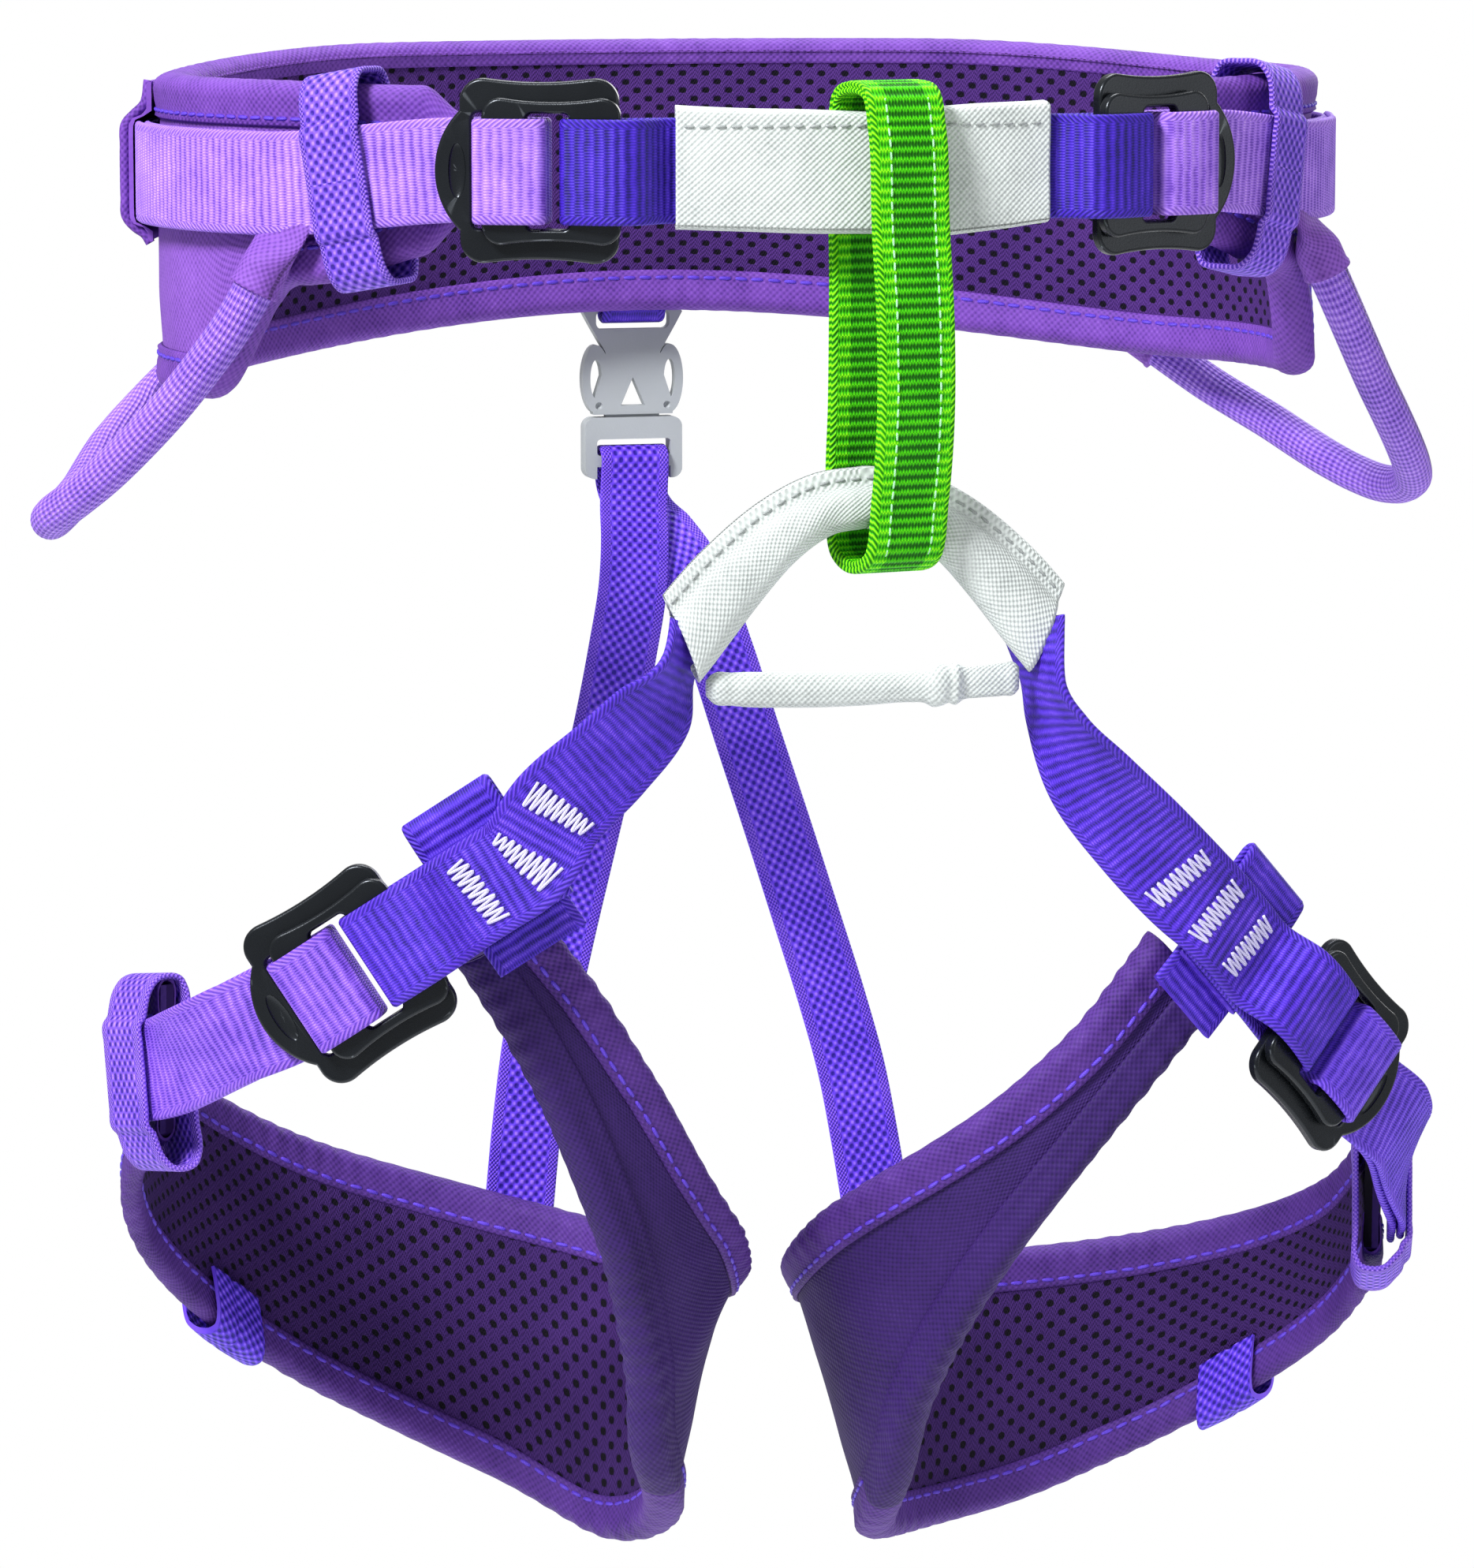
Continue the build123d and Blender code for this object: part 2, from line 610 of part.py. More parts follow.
def cross_loop(side):
    """Webbing loop sewn to the pad's front end and folded round behind the front strap."""
    plane = leg_buckle_plane(side)
    low, high = EDGE_OUT + GAP + WEB_T / 2, EDGE_OUT + GAP + STACK + WEB_T / 2
    low, high = low - LEG_BUCKLE_OUT, high - LEG_BUCKLE_OUT
    up = plane.y_dir if plane.y_dir.Z > 0 else plane.y_dir * -1
    x = 34.0 if side == LEFT else 33.0
    middle = (low + high) / 2
    r = (high - low) / 2
    local = [(-16.5, low - 0.6), (-10, low), (8, low), (15, low)]
    local += [(15 + 2.4 * math.sin(math.radians(a)), middle - r * math.cos(math.radians(a))) for a in (40, 90, 140)]
    local += [(15, high), (8, high), (-10, high)]
    path = [plane.origin + plane.x_dir * x + up * v + plane.z_dir * out for v, out in local]
    return ribbon(path, [plane.x_dir] * len(path), WEBBING, WEB_T)


def strap_route(side, out, stop):
    """Points of the adjusting strap on the thigh, from near the buckle to the angle stop."""
    (start, z0), (angle, z1) = LEG_BUCKLE[side], LEG_KEEPER[side]
    plane = leg_buckle_plane(side)
    slope = plane.x_dir.Z / Vector(plane.x_dir.X, plane.x_dir.Y, 0).length
    points = []
    for i in range(11):
        t = i / 10
        a = start + 19 + (stop - start - 19) * t
        run = (a - start) / (angle - start)
        sag = slope * 62.0 * math.radians(angle - start) * run * (1 - run) ** 2
        sag -= LEG_END_SLOPE[side] * 62.0 * math.radians(angle - start) * run * run * (1 - run)
        z = z0 + (z1 - z0) * (3 * run * run - 2 * run**3) - sag
        away = out + 8.6 * (1 - blend(a, start + 12, start + 44))
        points.append(thigh(side, a, z, away))
    return points


def adjusting_strap(side):
    """Webbing through the leg buckle: sewn end on the pad, up through the buckle, tail back on top."""
    plane = leg_buckle_plane(side)
    main = strap_route(side, LEG_STRAP_OUT, LEG_KEEPER[side][0] + 9)
    tail = strap_route(side, LEG_STRAP_OUT + STACK, LEG_KEEPER[side][0] - 2)
    turn = [at(plane, p) for p in strap_turn()]
    path = tail[::-1] + turn + main
    up = plane.y_dir if plane.y_dir.Z > 0 else plane.y_dir * -1
    rise = [Vector(0, 0, 1) * blend(i, 1, 9) + up * (1 - blend(i, 1, 9)) for i in range(11)]
    widths = rise[::-1] + [up] * len(turn) + rise
    return ribbon(path, widths, WEBBING, WEB_T)


def leg_keeper(side):
    """Elastic band holding the adjusting strap on the pad's outer end."""
    angle, z = LEG_KEEPER[side]
    inner, outer = -BINDING_T - 1.6, LEG_STRAP_OUT + STACK + WEB_T / 2 + 0.6
    normal = thigh_normal(side, angle)
    along = Vector(0, 0, 1).cross(normal) * side - Vector(0, 0, LEG_END_SLOPE[side])
    plane = Plane(origin=thigh(side, angle, z - 0.6, (inner + outer) / 2), x_dir=normal, z_dir=along)
    return band(plane, ELASTIC, outer - inner, 41.0)


def tail_keeper(side):
    """Small elastic tab folded over the pad's lower edge."""
    frames = leg_pad_frames(side)
    centre, up, out, half = frames[PAD_STEPS * 10]
    along = frames[PAD_STEPS * 10 + 1][0] - frames[PAD_STEPS * 10 - 1][0]
    low, high, foot = -3.0, EDGE_OUT + 2.0, -half - 3.6
    profile = [(9, low), (1, low), (-0.6, low + 1.0), (-1.0, (low + high) / 2), (-0.6, high - 1.0), (1, high), (9, high)]
    path = [centre + up * (foot + a) + out * b for a, b in profile]
    return ribbon(path, [along] * len(path), ELASTIC, ELASTIC_T)


# ---- rear suspension ----------------------------------------------------------------------------

REAR_Y = WAIST_B + EDGE_OUT + 4.3  # middle of the rear buckle
REAR_T = 3.0
BAR_Z = -71.6  # middle of the bar that carries the elastic
RING_TOP, NECK, FOOT = -36.4, -48.0, -61.5
HOUSING_TOP, HOUSING_FOOT = -61.8, -75.4


def rear_loop():
    """Webbing sewn to the belt's back, through the rear buckle's ring."""
    low, high = WAIST_B + EDGE_OUT + GAP + WEB_T / 2, WAIST_B + EDGE_OUT + GAP + STACK + WEB_T / 2
    near, far = REAR_Y - REAR_T / 2 - GAP - WEB_T / 2, REAR_Y + REAR_T / 2 + GAP + WEB_T / 2
    path = [(low, -22), (low, -32), (near, -34.5), (near, -39.0)]
    path += [(REAR_Y + (near - REAR_Y) * math.cos(math.radians(a)), -39.0 - 2.0 * math.sin(math.radians(a)))
             for a in (45, 90, 135)]
    path += [(far, -39.0), (far, -34.5), (high, -29), (high, -22)]
    points = [Vector(0, y, z) for y, z in path]
    return ribbon(points, [Vector(1, 0, 0)] * len(points), 14.0, WEB_T)


def flat_part(face, thick=REAR_T):
    """A face drawn in x and z, given its thickness about the rear buckle's middle."""
    solid = extrude(face, thick / 2, both=True)
    return Pos(0, REAR_Y, 0) * Rot(90, 0, 0) * solid


def rear_buckle_upper():
    """Ring, waisted neck, A-shaped body and two bowed side arms ending in round feet."""
    outline = [
        (11.0, RING_TOP - 3), (9.4, -42.3), (6.1, NECK), (6.4, -51.5), (9.2, FOOT + 1.5), (8.8, FOOT),
    ]
    right = [(9.0, RING_TOP)] + outline
    left = [(-x, z) for x, z in right[::-1]]
    body = Polygon(*(right + left), align=None)
    ring_slot = Pos(0, -41.0) * RectangleRounded(16.4, 4.0, 1.4)
    window = Polygon((0, -53.4), (2.7, -59.6), (-2.7, -59.6), align=None)
    arms = Sketch() + [
        Pos(s * 8.2, -53.8) * (Ellipse(3.0, 7.4) - Ellipse(1.3, 4.2)) for s in (LEFT, RIGHT)
    ]
    plate = flat_part(body + arms - ring_slot - window)
    prong = Pos(0, REAR_Y, HOUSING_TOP - 1.0) * Box(12.0, 1.6, 4.4)
    dimples = [Pos(s * 7.6, REAR_Y - REAR_T / 2, -59.6) * Sphere(0.8) for s in (LEFT, RIGHT)]
    return plate + prong - dimples


def rear_buckle_lower():
    """Housing with a socket for the prongs, two side rails and a bar for the elastic."""
    low, high = HOUSING_FOOT, HOUSING_TOP - GAP
    outer = Pos(0, (low + high) / 2) * RectangleRounded(21.6, high - low, 2.2)
    slot = Pos(0, BAR_Z + 3.0) * RectangleRounded(16.4, 3.6, 0.8)
    foot = Pos(0, (low + BAR_Z - 1.2) / 2) * Rectangle(16.4, BAR_Z - 1.2 - low)
    body = flat_part(outer - slot - foot, REAR_T + 1.4)
    socket = Pos(0, REAR_Y, high) * Box(12.8, 2.4, 7.4)
    return body - socket


# Middle lines of the two elastic risers below the rear buckle.
RISER = {
    LEFT: [(-3.2, 78, -97), (-12.0, 65, -126), (-20.5, 55, -150), (-33.0, 43, -189.4), (-38.0, 39.4, -224)],
    RIGHT: [(10.6, 82, -95), (19.6, 67, -130), (29.2, 54, -168), (36.6, 45.5, -199), (41.0, 40.4, -230)],
}


def risers():
    """One elastic, folded over the housing's bar: the front leg to the left, the rear leg to the right."""
    half = (REAR_T + 1.4) / 2
    near, far = REAR_Y - half - GAP - ELASTIC_T / 2, REAR_Y + half + GAP + ELASTIC_T / 2
    left = [Vector(*p) for p in RISER[LEFT]][::-1]
    right = [Vector(*p) for p in RISER[RIGHT]]
    over = BAR_Z + 1.2 + GAP + ELASTIC_T / 2
    near_leg = spline_points(left + [Vector(-0.6, near - 1.2, -81), Vector(0, near, BAR_Z - 2)], 2)
    far_leg = spline_points([Vector(0, far, BAR_Z - 2), Vector(1.6, far - 1.4, -81)] + right, 2)
    fold = [Vector(0, near, over - 0.7), Vector(0, near + 0.7, over), Vector(0, far - 0.7, over)]
    path = near_leg + fold + [Vector(0, far, over - 0.7)] + far_leg
    return ribbon(path, [Vector(1, 0, 0)] * len(path), ELASTIC, ELASTIC_T)


# ---- gear loops ---------------------------------------------------------------------------------

GEAR_LOOP = [
    (107.6, -46.0, -20.0), (113.5, -44.0, -31.0), (124, -35, -47), (135, -23, -61), (142.5, -8, -70),
    (140.5, 5, -72), (133.5, 17, -68), (125.5, 32, -61.0), (115.5, 44.5, -53.5), (103.6, 52.6, -44.0),
]
GEAR_R, GEAR_BORE, GEAR_CORE = 4.0, 2.9, 2.6


def tube(path, radius, sides=8):
    """Polygonal rod along a path that stays clear of vertical."""
    rings = []
    for i, point in enumerate(path):
        along = (path[min(i + 1, len(path) - 1)] - path[max(i - 1, 0)]).normalized()
        u = along.cross(Vector(0.7, 0, 0.7)).normalized()
        v = along.cross(u)
        turn = [2 * math.pi * k / sides for k in range(sides)]
        rings.append([point + u * (radius * math.cos(a)) + v * (radius * math.sin(a)) for a in turn])
    return skin(rings)


def gear_path(side, trim=0.0):
    path = spline_points([Vector(side * x, y, z) for x, y, z in GEAR_LOOP], 2)
    path[0] += (path[0] - path[1]).normalized() * trim
    path[-1] += (path[-1] - path[-2]).normalized() * trim
    return path


# ---- build --------------------------------------------------------------------------------------


def build_waist():
    pad_pieces("waist_pad", waist_frames())
    keep("waist_webbing", waist_webbing())
    keep("waist_webbing_cover", webbing_cover())
    keep("tie_in_webbing", tie_in_webbing())
    keep("tie_in_sleeve", tie_in_sleeve())
    for side, name in SIDES:
        keep(f"waist_keeper_{name}", waist_keeper(side))
        keep_buckle(f"waist_buckle_{name}", waist_buckle_plane(side))
        keep(f"gear_loop_sleeve_{name}", tube(gear_path(side), GEAR_R) - tube(gear_path(side, 1.0), GEAR_BORE))
        keep(f"gear_loop_core_{name}", tube(gear_path(side, -1.0), GEAR_CORE))


def build_front():
    keep("belay_loop", belay_loop())
    keep("lower_tie_in_sleeve", lower_tie_in_sleeve())
    keep("lower_tie_in_webbing", lower_tie_in_webbing())
    keep("tie_in_retainer", tie_in_retainer())


def build_legs():
    for side, name in SIDES:
        pad_pieces(f"leg_pad_{name}", leg_pad_frames(side))
        keep(f"leg_front_strap_{name}", front_strap(side))
        keep(f"leg_cross_loop_{name}", cross_loop(side))
        keep(f"leg_adjusting_strap_{name}", adjusting_strap(side))
        keep(f"leg_keeper_{name}", leg_keeper(side))
        keep(f"leg_tail_keeper_{name}", tail_keeper(side))
        keep_buckle(f"leg_buckle_{name}", leg_buckle_plane(side))


def build_rear():
    keep("rear_loop", rear_loop())
    keep("rear_buckle_upper", rear_buckle_upper())
    keep("rear_buckle_lower", rear_buckle_lower())
    keep("riser", risers())


build_waist()
build_front()
build_legs()
build_rear()
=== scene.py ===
import math

import bpy
import numpy as np
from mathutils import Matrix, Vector


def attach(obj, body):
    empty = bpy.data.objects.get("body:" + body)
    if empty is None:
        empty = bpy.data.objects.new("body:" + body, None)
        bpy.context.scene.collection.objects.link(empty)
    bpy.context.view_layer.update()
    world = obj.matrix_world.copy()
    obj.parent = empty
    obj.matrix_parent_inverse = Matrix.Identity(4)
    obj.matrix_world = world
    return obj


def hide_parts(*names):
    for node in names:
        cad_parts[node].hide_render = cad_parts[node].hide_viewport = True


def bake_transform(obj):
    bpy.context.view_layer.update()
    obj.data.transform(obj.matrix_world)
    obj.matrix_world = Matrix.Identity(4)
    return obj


# Climbing harness: fabric, webbing and stitching built round the CAD frame.
# Shapes are worked out in millimetres in the frame's axes and written in metres.

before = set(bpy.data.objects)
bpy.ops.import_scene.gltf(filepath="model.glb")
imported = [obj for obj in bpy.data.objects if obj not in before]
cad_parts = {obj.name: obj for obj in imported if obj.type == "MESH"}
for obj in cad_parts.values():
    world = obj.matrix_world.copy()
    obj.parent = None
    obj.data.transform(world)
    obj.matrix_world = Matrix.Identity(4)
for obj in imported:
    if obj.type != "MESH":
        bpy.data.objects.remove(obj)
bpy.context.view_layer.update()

LEFT, RIGHT = -1, 1
SIDES = ((LEFT, "left"), (RIGHT, "right"))
TAU = 2 * math.pi
rng = np.random.default_rng(11)

# ---- sizes shared with the CAD model ------------------------------------------------------------

WEBBING, WEB_T = 20.0, 1.5  # width and thickness
NARROW = 14.0  # width of the rear loop's webbing
ELASTIC, ELASTIC_T = 15.0, 1.2
GAP = 0.3
WAIST_A, WAIST_B, BELT_DIP = 112.0, 80.0, 3.6
THIGH_X, THIGH_Y, THIGH_A, THIGH_B = 67.5, -17.0, 60.8, 51.0
THIGH_TAPER, TAPER_Z = 0.30, -212.0
BINDING_T, BINDING_FACE = 0.8, 8.0
EDGE_OUT = 7.6
THIN_END = 0.5
STACK, SLIDE = 1.8, 2.0
MAIN_OUT = EDGE_OUT + GAP + WEB_T / 2
TAIL_OUT = MAIN_OUT + STACK
COVER_OUT = TAIL_OUT + WEB_T / 2 + GAP
TIE_OUT = TAIL_OUT
TIE_Y = -(WAIST_B + TIE_OUT + STACK / 2)

# ---- points and directions ----------------------------------------------------------------------


def vec(*p):
    return np.array(p, float)


def unit(v):
    v = np.asarray(v, float)
    return v / np.linalg.norm(v, axis=-1, keepdims=True)


def blend(x, low, high):
    """Smooth step from 0 at low to 1 at high."""
    t = np.clip((x - low) / (high - low), 0.0, 1.0)
    return t * t * (3 - 2 * t)


def ellipse(a, b, angle, out):
    s, c = math.sin(math.radians(angle)), math.cos(math.radians(angle))
    normal = unit(vec(s / a, -c / b, 0))
    return vec(a * s, -b * c, 0) + normal * out, normal


def lengths(points):
    """Length along a line at each of its points."""
    return np.concatenate([[0.0], np.cumsum(np.linalg.norm(np.diff(points, axis=0), axis=1))])


def belt_dip(angle):
    return BELT_DIP * blend(abs((angle + 180) % 360 - 180), 36, 62)


def waist(angle, out, z=0.0):
    return ellipse(WAIST_A, WAIST_B, angle, out)[0] + vec(0, 0, z - belt_dip(angle))


def waist_normal(angle):
    return ellipse(WAIST_A, WAIST_B, angle, 0)[1]


def thigh(side, angle, z, out):
    inner = 0.5 - 0.5 * math.sin(math.radians(angle))
    inset = THIGH_TAPER * inner * max(0.0, TAPER_Z - z)
    p = ellipse(THIGH_A - inset, THIGH_B - inset, angle, out)[0]
    return vec(side * (THIGH_X + p[0]), THIGH_Y + p[1], z)


def thigh_normal(side, angle):
    n = ellipse(THIGH_A, THIGH_B, angle, 0)[1]
    return vec(side * n[0], n[1], 0)


def spline_value(values, t):
    """Catmull-Rom value of a list at t, counted in list places."""
    last = len(values) - 1
    i = min(int(t), last - 1)
    f = t - i
    p1, p2 = values[i], values[i + 1]
    p0 = values[i - 1] if i > 0 else p1 * 2 - p2
    p3 = values[i + 2] if i + 2 <= last else p2 * 2 - p1
    return (p1 + (p2 - p0) * (0.5 * f) + (p0 * 2 - p1 * 5 + p2 * 4 - p3) * (0.5 * f * f)
            + (p1 * 3 - p0 - p2 * 3 + p3) * (0.5 * f * f * f))


def spline_points(points, per_span):
    return [spline_value(points, i / per_span) for i in range((len(points) - 1) * per_span + 1)]


def smooth_line(points, step, closed=False):
    """Evenly spaced points of a smooth line through points; columns past the third follow along."""
    p = np.asarray(points, float)
    count = len(p)
    if closed:
        p = np.concatenate([p[-2:], p, p[:3]])
    d = np.linalg.norm(np.diff(p[:, :3], axis=0), axis=1)
    s = np.concatenate([[0.0], np.cumsum(d)])
    chord = np.diff(p, axis=0) / d[:, None]
    m = np.empty_like(p)
    m[1:-1] = (chord[:-1] * d[1:, None] + chord[1:] * d[:-1, None]) / (d[:-1] + d[1:])[:, None]
    m[0], m[-1] = chord[0], chord[-1]
    start, stop = (s[2], s[2 + count]) if closed else (0.0, s[-1])
    n = max(3, int(round((stop - start) / step)) + 1)
    at = np.linspace(start, stop, n)[: n - 1 if closed else n]
    k = np.clip(np.searchsorted(s, at, side="right") - 1, 0, len(d) - 1)
    t = ((at - s[k]) / d[k])[:, None]
    dk = d[k][:, None]
    return (p[k] * (2 * t**3 - 3 * t**2 + 1) + m[k] * dk * (t**3 - 2 * t**2 + t)
            + p[k + 1] * (-2 * t**3 + 3 * t**2) + m[k + 1] * dk * (t**3 - t**2))


def ribbon_frames(path, across, step=0.45, closed=False):
    """Centre, width direction, thickness direction, tangent and length along a strap."""
    both = smooth_line(np.hstack([np.array(path), unit(np.array(across))]), step, closed)
    c, w = both[:, :3], both[:, 3:]
    if closed:
        t = unit(np.roll(c, -1, axis=0) - np.roll(c, 1, axis=0))
    else:
        t = unit(np.gradient(c, axis=0))
    w = unit(w - t * np.sum(w * t, axis=1, keepdims=True))
    u = lengths(c)
    if closed:
        u = np.append(u, u[-1] + np.linalg.norm(c[0] - c[-1]))
    return {"c": c, "w": w, "n": np.cross(t, w), "t": t, "u": u, "closed": closed}


# ---- meshes -------------------------------------------------------------------------------------


def new_object(name, data):
    obj = bpy.data.objects.new(name, data)
    bpy.context.scene.collection.objects.link(obj)
    return obj


class Piece:
    """Collects surfaces, in millimetres, into one named object."""

    def __init__(self, name):
        self.name, self.points, self.faces, self.uv, self.mat, self.slots = name, [], [], [], [], []
        self.count = 0

    def slot_of(self, material):
        if material not in self.slots:
            self.slots.append(material)
        return self.slots.index(material)

    def add(self, points, quads, uv, material):
        """Closed surface of four-sided faces: quads index points, uv gives each corner's place."""
        p, q = np.asarray(points, float), np.asarray(quads)
        a, b, c, d = (p[q[:, k]] for k in range(4))
        volume = np.sum(np.cross(a, b) * c) + np.sum(np.cross(a, c) * d)
        if volume < 0:
            q, uv = q[:, ::-1], uv[:, ::-1]
        self.faces += (q + self.count).tolist()
        self.uv.append(uv.reshape(-1, 2))
        self.mat += [self.slot_of(material)] * len(q)
        self.points.append(p)
        self.count += len(p)
        return volume

    def grid(self, rows, u, v, material, wrap_u=False, caps=True):
        """Surface through rows of points, each row a closed section."""
        rows = np.asarray(rows, float)
        n, m = rows.shape[:2]
        i, j = np.arange(n if wrap_u else n - 1), np.arange(m)
        i, j = np.meshgrid(i, j, indexing="ij")
        i, j = i.ravel(), j.ravel()
        i1, j1 = (i + 1) % n, (j + 1) % m
        quads = np.stack([i * m + j, i1 * m + j, i1 * m + j1, i * m + j1], axis=1)
        u, v = np.asarray(u, float), np.asarray(v, float)
        u_next, v_next = np.append(u, u[-1])[: n + 1], np.append(v, v[0])[: m + 1]
        uv = np.stack([
            np.stack([u_next[i], v_next[j]], axis=1), np.stack([u_next[i + 1], v_next[j]], axis=1),
            np.stack([u_next[i + 1], v_next[j + 1]], axis=1), np.stack([u_next[i], v_next[j + 1]], axis=1),
        ], axis=1)
        start = self.count
        volume = self.add(rows.reshape(-1, 3), quads, uv, material)
        if wrap_u or not caps:
            return
        first = list(range(start, start + m))
        last = list(range(start + (n - 1) * m, start + n * m))
        for ring, flip, k in ((first, volume < 0, 0), (last[::-1], volume < 0, -1)):
            self.faces.append(ring[::-1] if flip else ring)
            self.uv.append(np.tile([u[k], 0.0], (m, 1)))
            self.mat.append(self.slot_of(material))

    def build(self, body, slot, *nodes):
        mesh = bpy.data.meshes.new(self.name)
        mesh.from_pydata((np.concatenate(self.points) * 0.001).tolist(), [], self.faces)
        mesh.uv_layers.new(name="mm").data.foreach_set("uv", np.concatenate(self.uv).ravel())
        for material in self.slots:
            mesh.materials.append(material)
        mesh.polygons.foreach_set("material_index", self.mat)
        mesh.polygons.foreach_set("use_smooth", [len(f) == 4 for f in self.faces])
        mesh.update()
        obj = new_object(self.name, mesh)
        if body:
            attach(obj, body)
        if nodes:
            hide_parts(*nodes)
        return obj


def strap_section(width, thick, layers=1, columns=15):
    """Closed section of webbing: places across, out, and how flat the weave lies there."""
    half, r = width / 2, thick / 2
    a = np.linspace(-half + r, half - r, columns)
    edge_a, edge_b = [], []
    lay = thick / layers / 2
    for k in range(layers):
        mid = r - lay * (2 * k + 1)
        for phi in (60, 20, -20, -60):
            edge_a.append(half - lay + lay * math.cos(math.radians(phi)))
            edge_b.append(mid + lay * math.sin(math.radians(phi)))
    ea, eb = np.array(edge_a), np.array(edge_b)
    across = np.concatenate([a, ea, a[::-1], -ea[::-1]])
    out = np.concatenate([np.full(columns, r), eb, np.full(columns, -r), eb[::-1]])
    flat = np.concatenate([np.ones(columns), np.zeros(len(ea))] * 2)
    return across, out, flat


def strap(piece, f, width, thick, material, pitch=1.9, rib=0.085, layers=1, wavy=0.0, gather=0.0):
    """Woven strap along its frames, with real cross ribs; gather narrows its first 10 mm."""
    a, b, flat = strap_section(width, thick, layers)
    u = f["u"][: len(f["c"])]
    reach = 1 - gather * (1 - blend(u, 1, 11))
    ribs = rib * np.cos(TAU * u / pitch) if rib else np.zeros(len(u))
    drift = wavy * (np.sin(u / 9.0 + 1.3) + 0.6 * np.sin(u / 4.1))
    rows = (f["c"][:, None] + f["w"][:, None] * (reach[:, None] * a[None])[:, :, None]
            + f["n"][:, None] * (b[None] + np.sign(b)[None] * flat[None] * ribs[:, None]
                                 + drift[:, None] * (a[None] / width * 2) ** 2)[:, :, None])
    piece.grid(rows, f["u"], a, material, wrap_u=f["closed"])


def hollow(piece, outer, inner, u, v, material):
    """Open-ended sleeve with a real wall."""
    rows = np.concatenate([outer, inner[::-1]])
    piece.grid(rows, np.concatenate([u, u[::-1]]), v, material, wrap_u=True)


def capsules(piece, centres, along, side, out, length, radius, material):
    """Row of small thread bumps, each length long."""
    n_side = 6
    rings = [(-0.5, 0.25), (-0.42, 0.8), (-0.15, 1.0), (0.15, 1.0), (0.42, 0.8), (0.5, 0.25)]
    x, y, z = [], [], []
    for pos, size in rings:
        for k in range(n_side):
            x.append(pos * length)
            y.append(radius * size * 1.15 * math.cos(TAU * k / n_side))
            z.append(radius * size * math.sin(TAU * k / n_side) + radius * (size - 1) * 0.4)
    x, y, z = (np.array(q)[None, :, None] for q in (x, y, z))
    pts = centres[:, None] + along[:, None] * x + side[:, None] * y + out[:, None] * z
    count, per = pts.shape[:2]
    m, n = n_side, len(rings)
    i, j = (q.ravel() for q in np.meshgrid(np.arange(n - 1), np.arange(m), indexing="ij"))
    j1 = (j + 1) % m
    one = np.stack([i * m + j, (i + 1) * m + j, (i + 1) * m + j1, i * m + j1], axis=1)
    ends = np.array([[0, 1, 2, 5], [2, 3, 4, 5], [5, 2, 1, 0], [5, 4, 3, 2]])
    ends[2:] += (n - 1) * m
    one = np.concatenate([one, ends])
    quads = (one[None] + (np.arange(count) * per)[:, None, None]).reshape(-1, 4)
    local = np.stack([np.broadcast_to(q, (count, per, 1))[..., 0] for q in (x, y)], -1)
    uv = local.reshape(-1, 2)[quads]
    piece.add(pts.reshape(-1, 3), quads, uv, material)


def stitch_row(piece, line, out, material, pitch=3.5, length=2.7, radius=0.36, start=1.5, stop=1.5):
    """Stitches along a line of points that lie on a surface with the given normals."""
    s = lengths(line)
    if s[-1] < start + stop + pitch:
        return
    at = np.arange(start, s[-1] - stop, pitch)
    at = at + rng.uniform(-0.12, 0.12, len(at))

    def read(values, places):
        return np.stack([np.interp(places, s, values[:, k]) for k in range(3)], axis=1)

    c, n = read(line, at), unit(read(out, at))
    t = unit(read(line, at + 0.8) - read(line, at - 0.8))
    w = unit(np.cross(n, t))
    t = unit(t + w * rng.uniform(-0.07, 0.07, (len(at), 1)))
    capsules(piece, c + n * radius * 0.3, t, w, n, length, radius, material)


def tube(piece, path, radius, material, sides=8, step=0.5):
    """Thin thread or cord along a smooth path."""
    p = np.asarray(path, float)
    c = smooth_line(p, step)
    t = unit(np.gradient(c, axis=0))
    ref = np.tile(vec(0.31, 0.52, 0.79), (len(c), 1))
    a = unit(np.cross(t, ref))
    b = np.cross(t, a)
    ang = np.arange(sides) * TAU / sides
    ring = a[:, None] * np.cos(ang)[None, :, None] + b[:, None] * np.sin(ang)[None, :, None]
    rows = c[:, None] + radius * ring
    u = np.arange(len(c)) * step
    piece.grid(rows, u, ang * radius, material)


def bar_tack(piece, f, u, material, face, width, strokes, radius, length=13.5, lean=0.0, thick=WEB_T):
    """Zigzag tack across a strap at the place u along it."""
    lift = thick / 2 + 0.16
    path = []
    for k in range(strokes * 2 + 1):
        a = -length / 2 + length * k / (strokes * 2)
        x = u + (width / 2 if k % 2 else -width / 2) + lean * a
        i = min(int(np.searchsorted(f["u"], x)), len(f["c"]) - 1)
        path.append(f["c"][i] + f["w"][i] * a + f["n"][i] * face * (lift + 0.05))
    tube(piece, path, radius, material, sides=6, step=0.45)


# ---- materials ----------------------------------------------------------------------------------


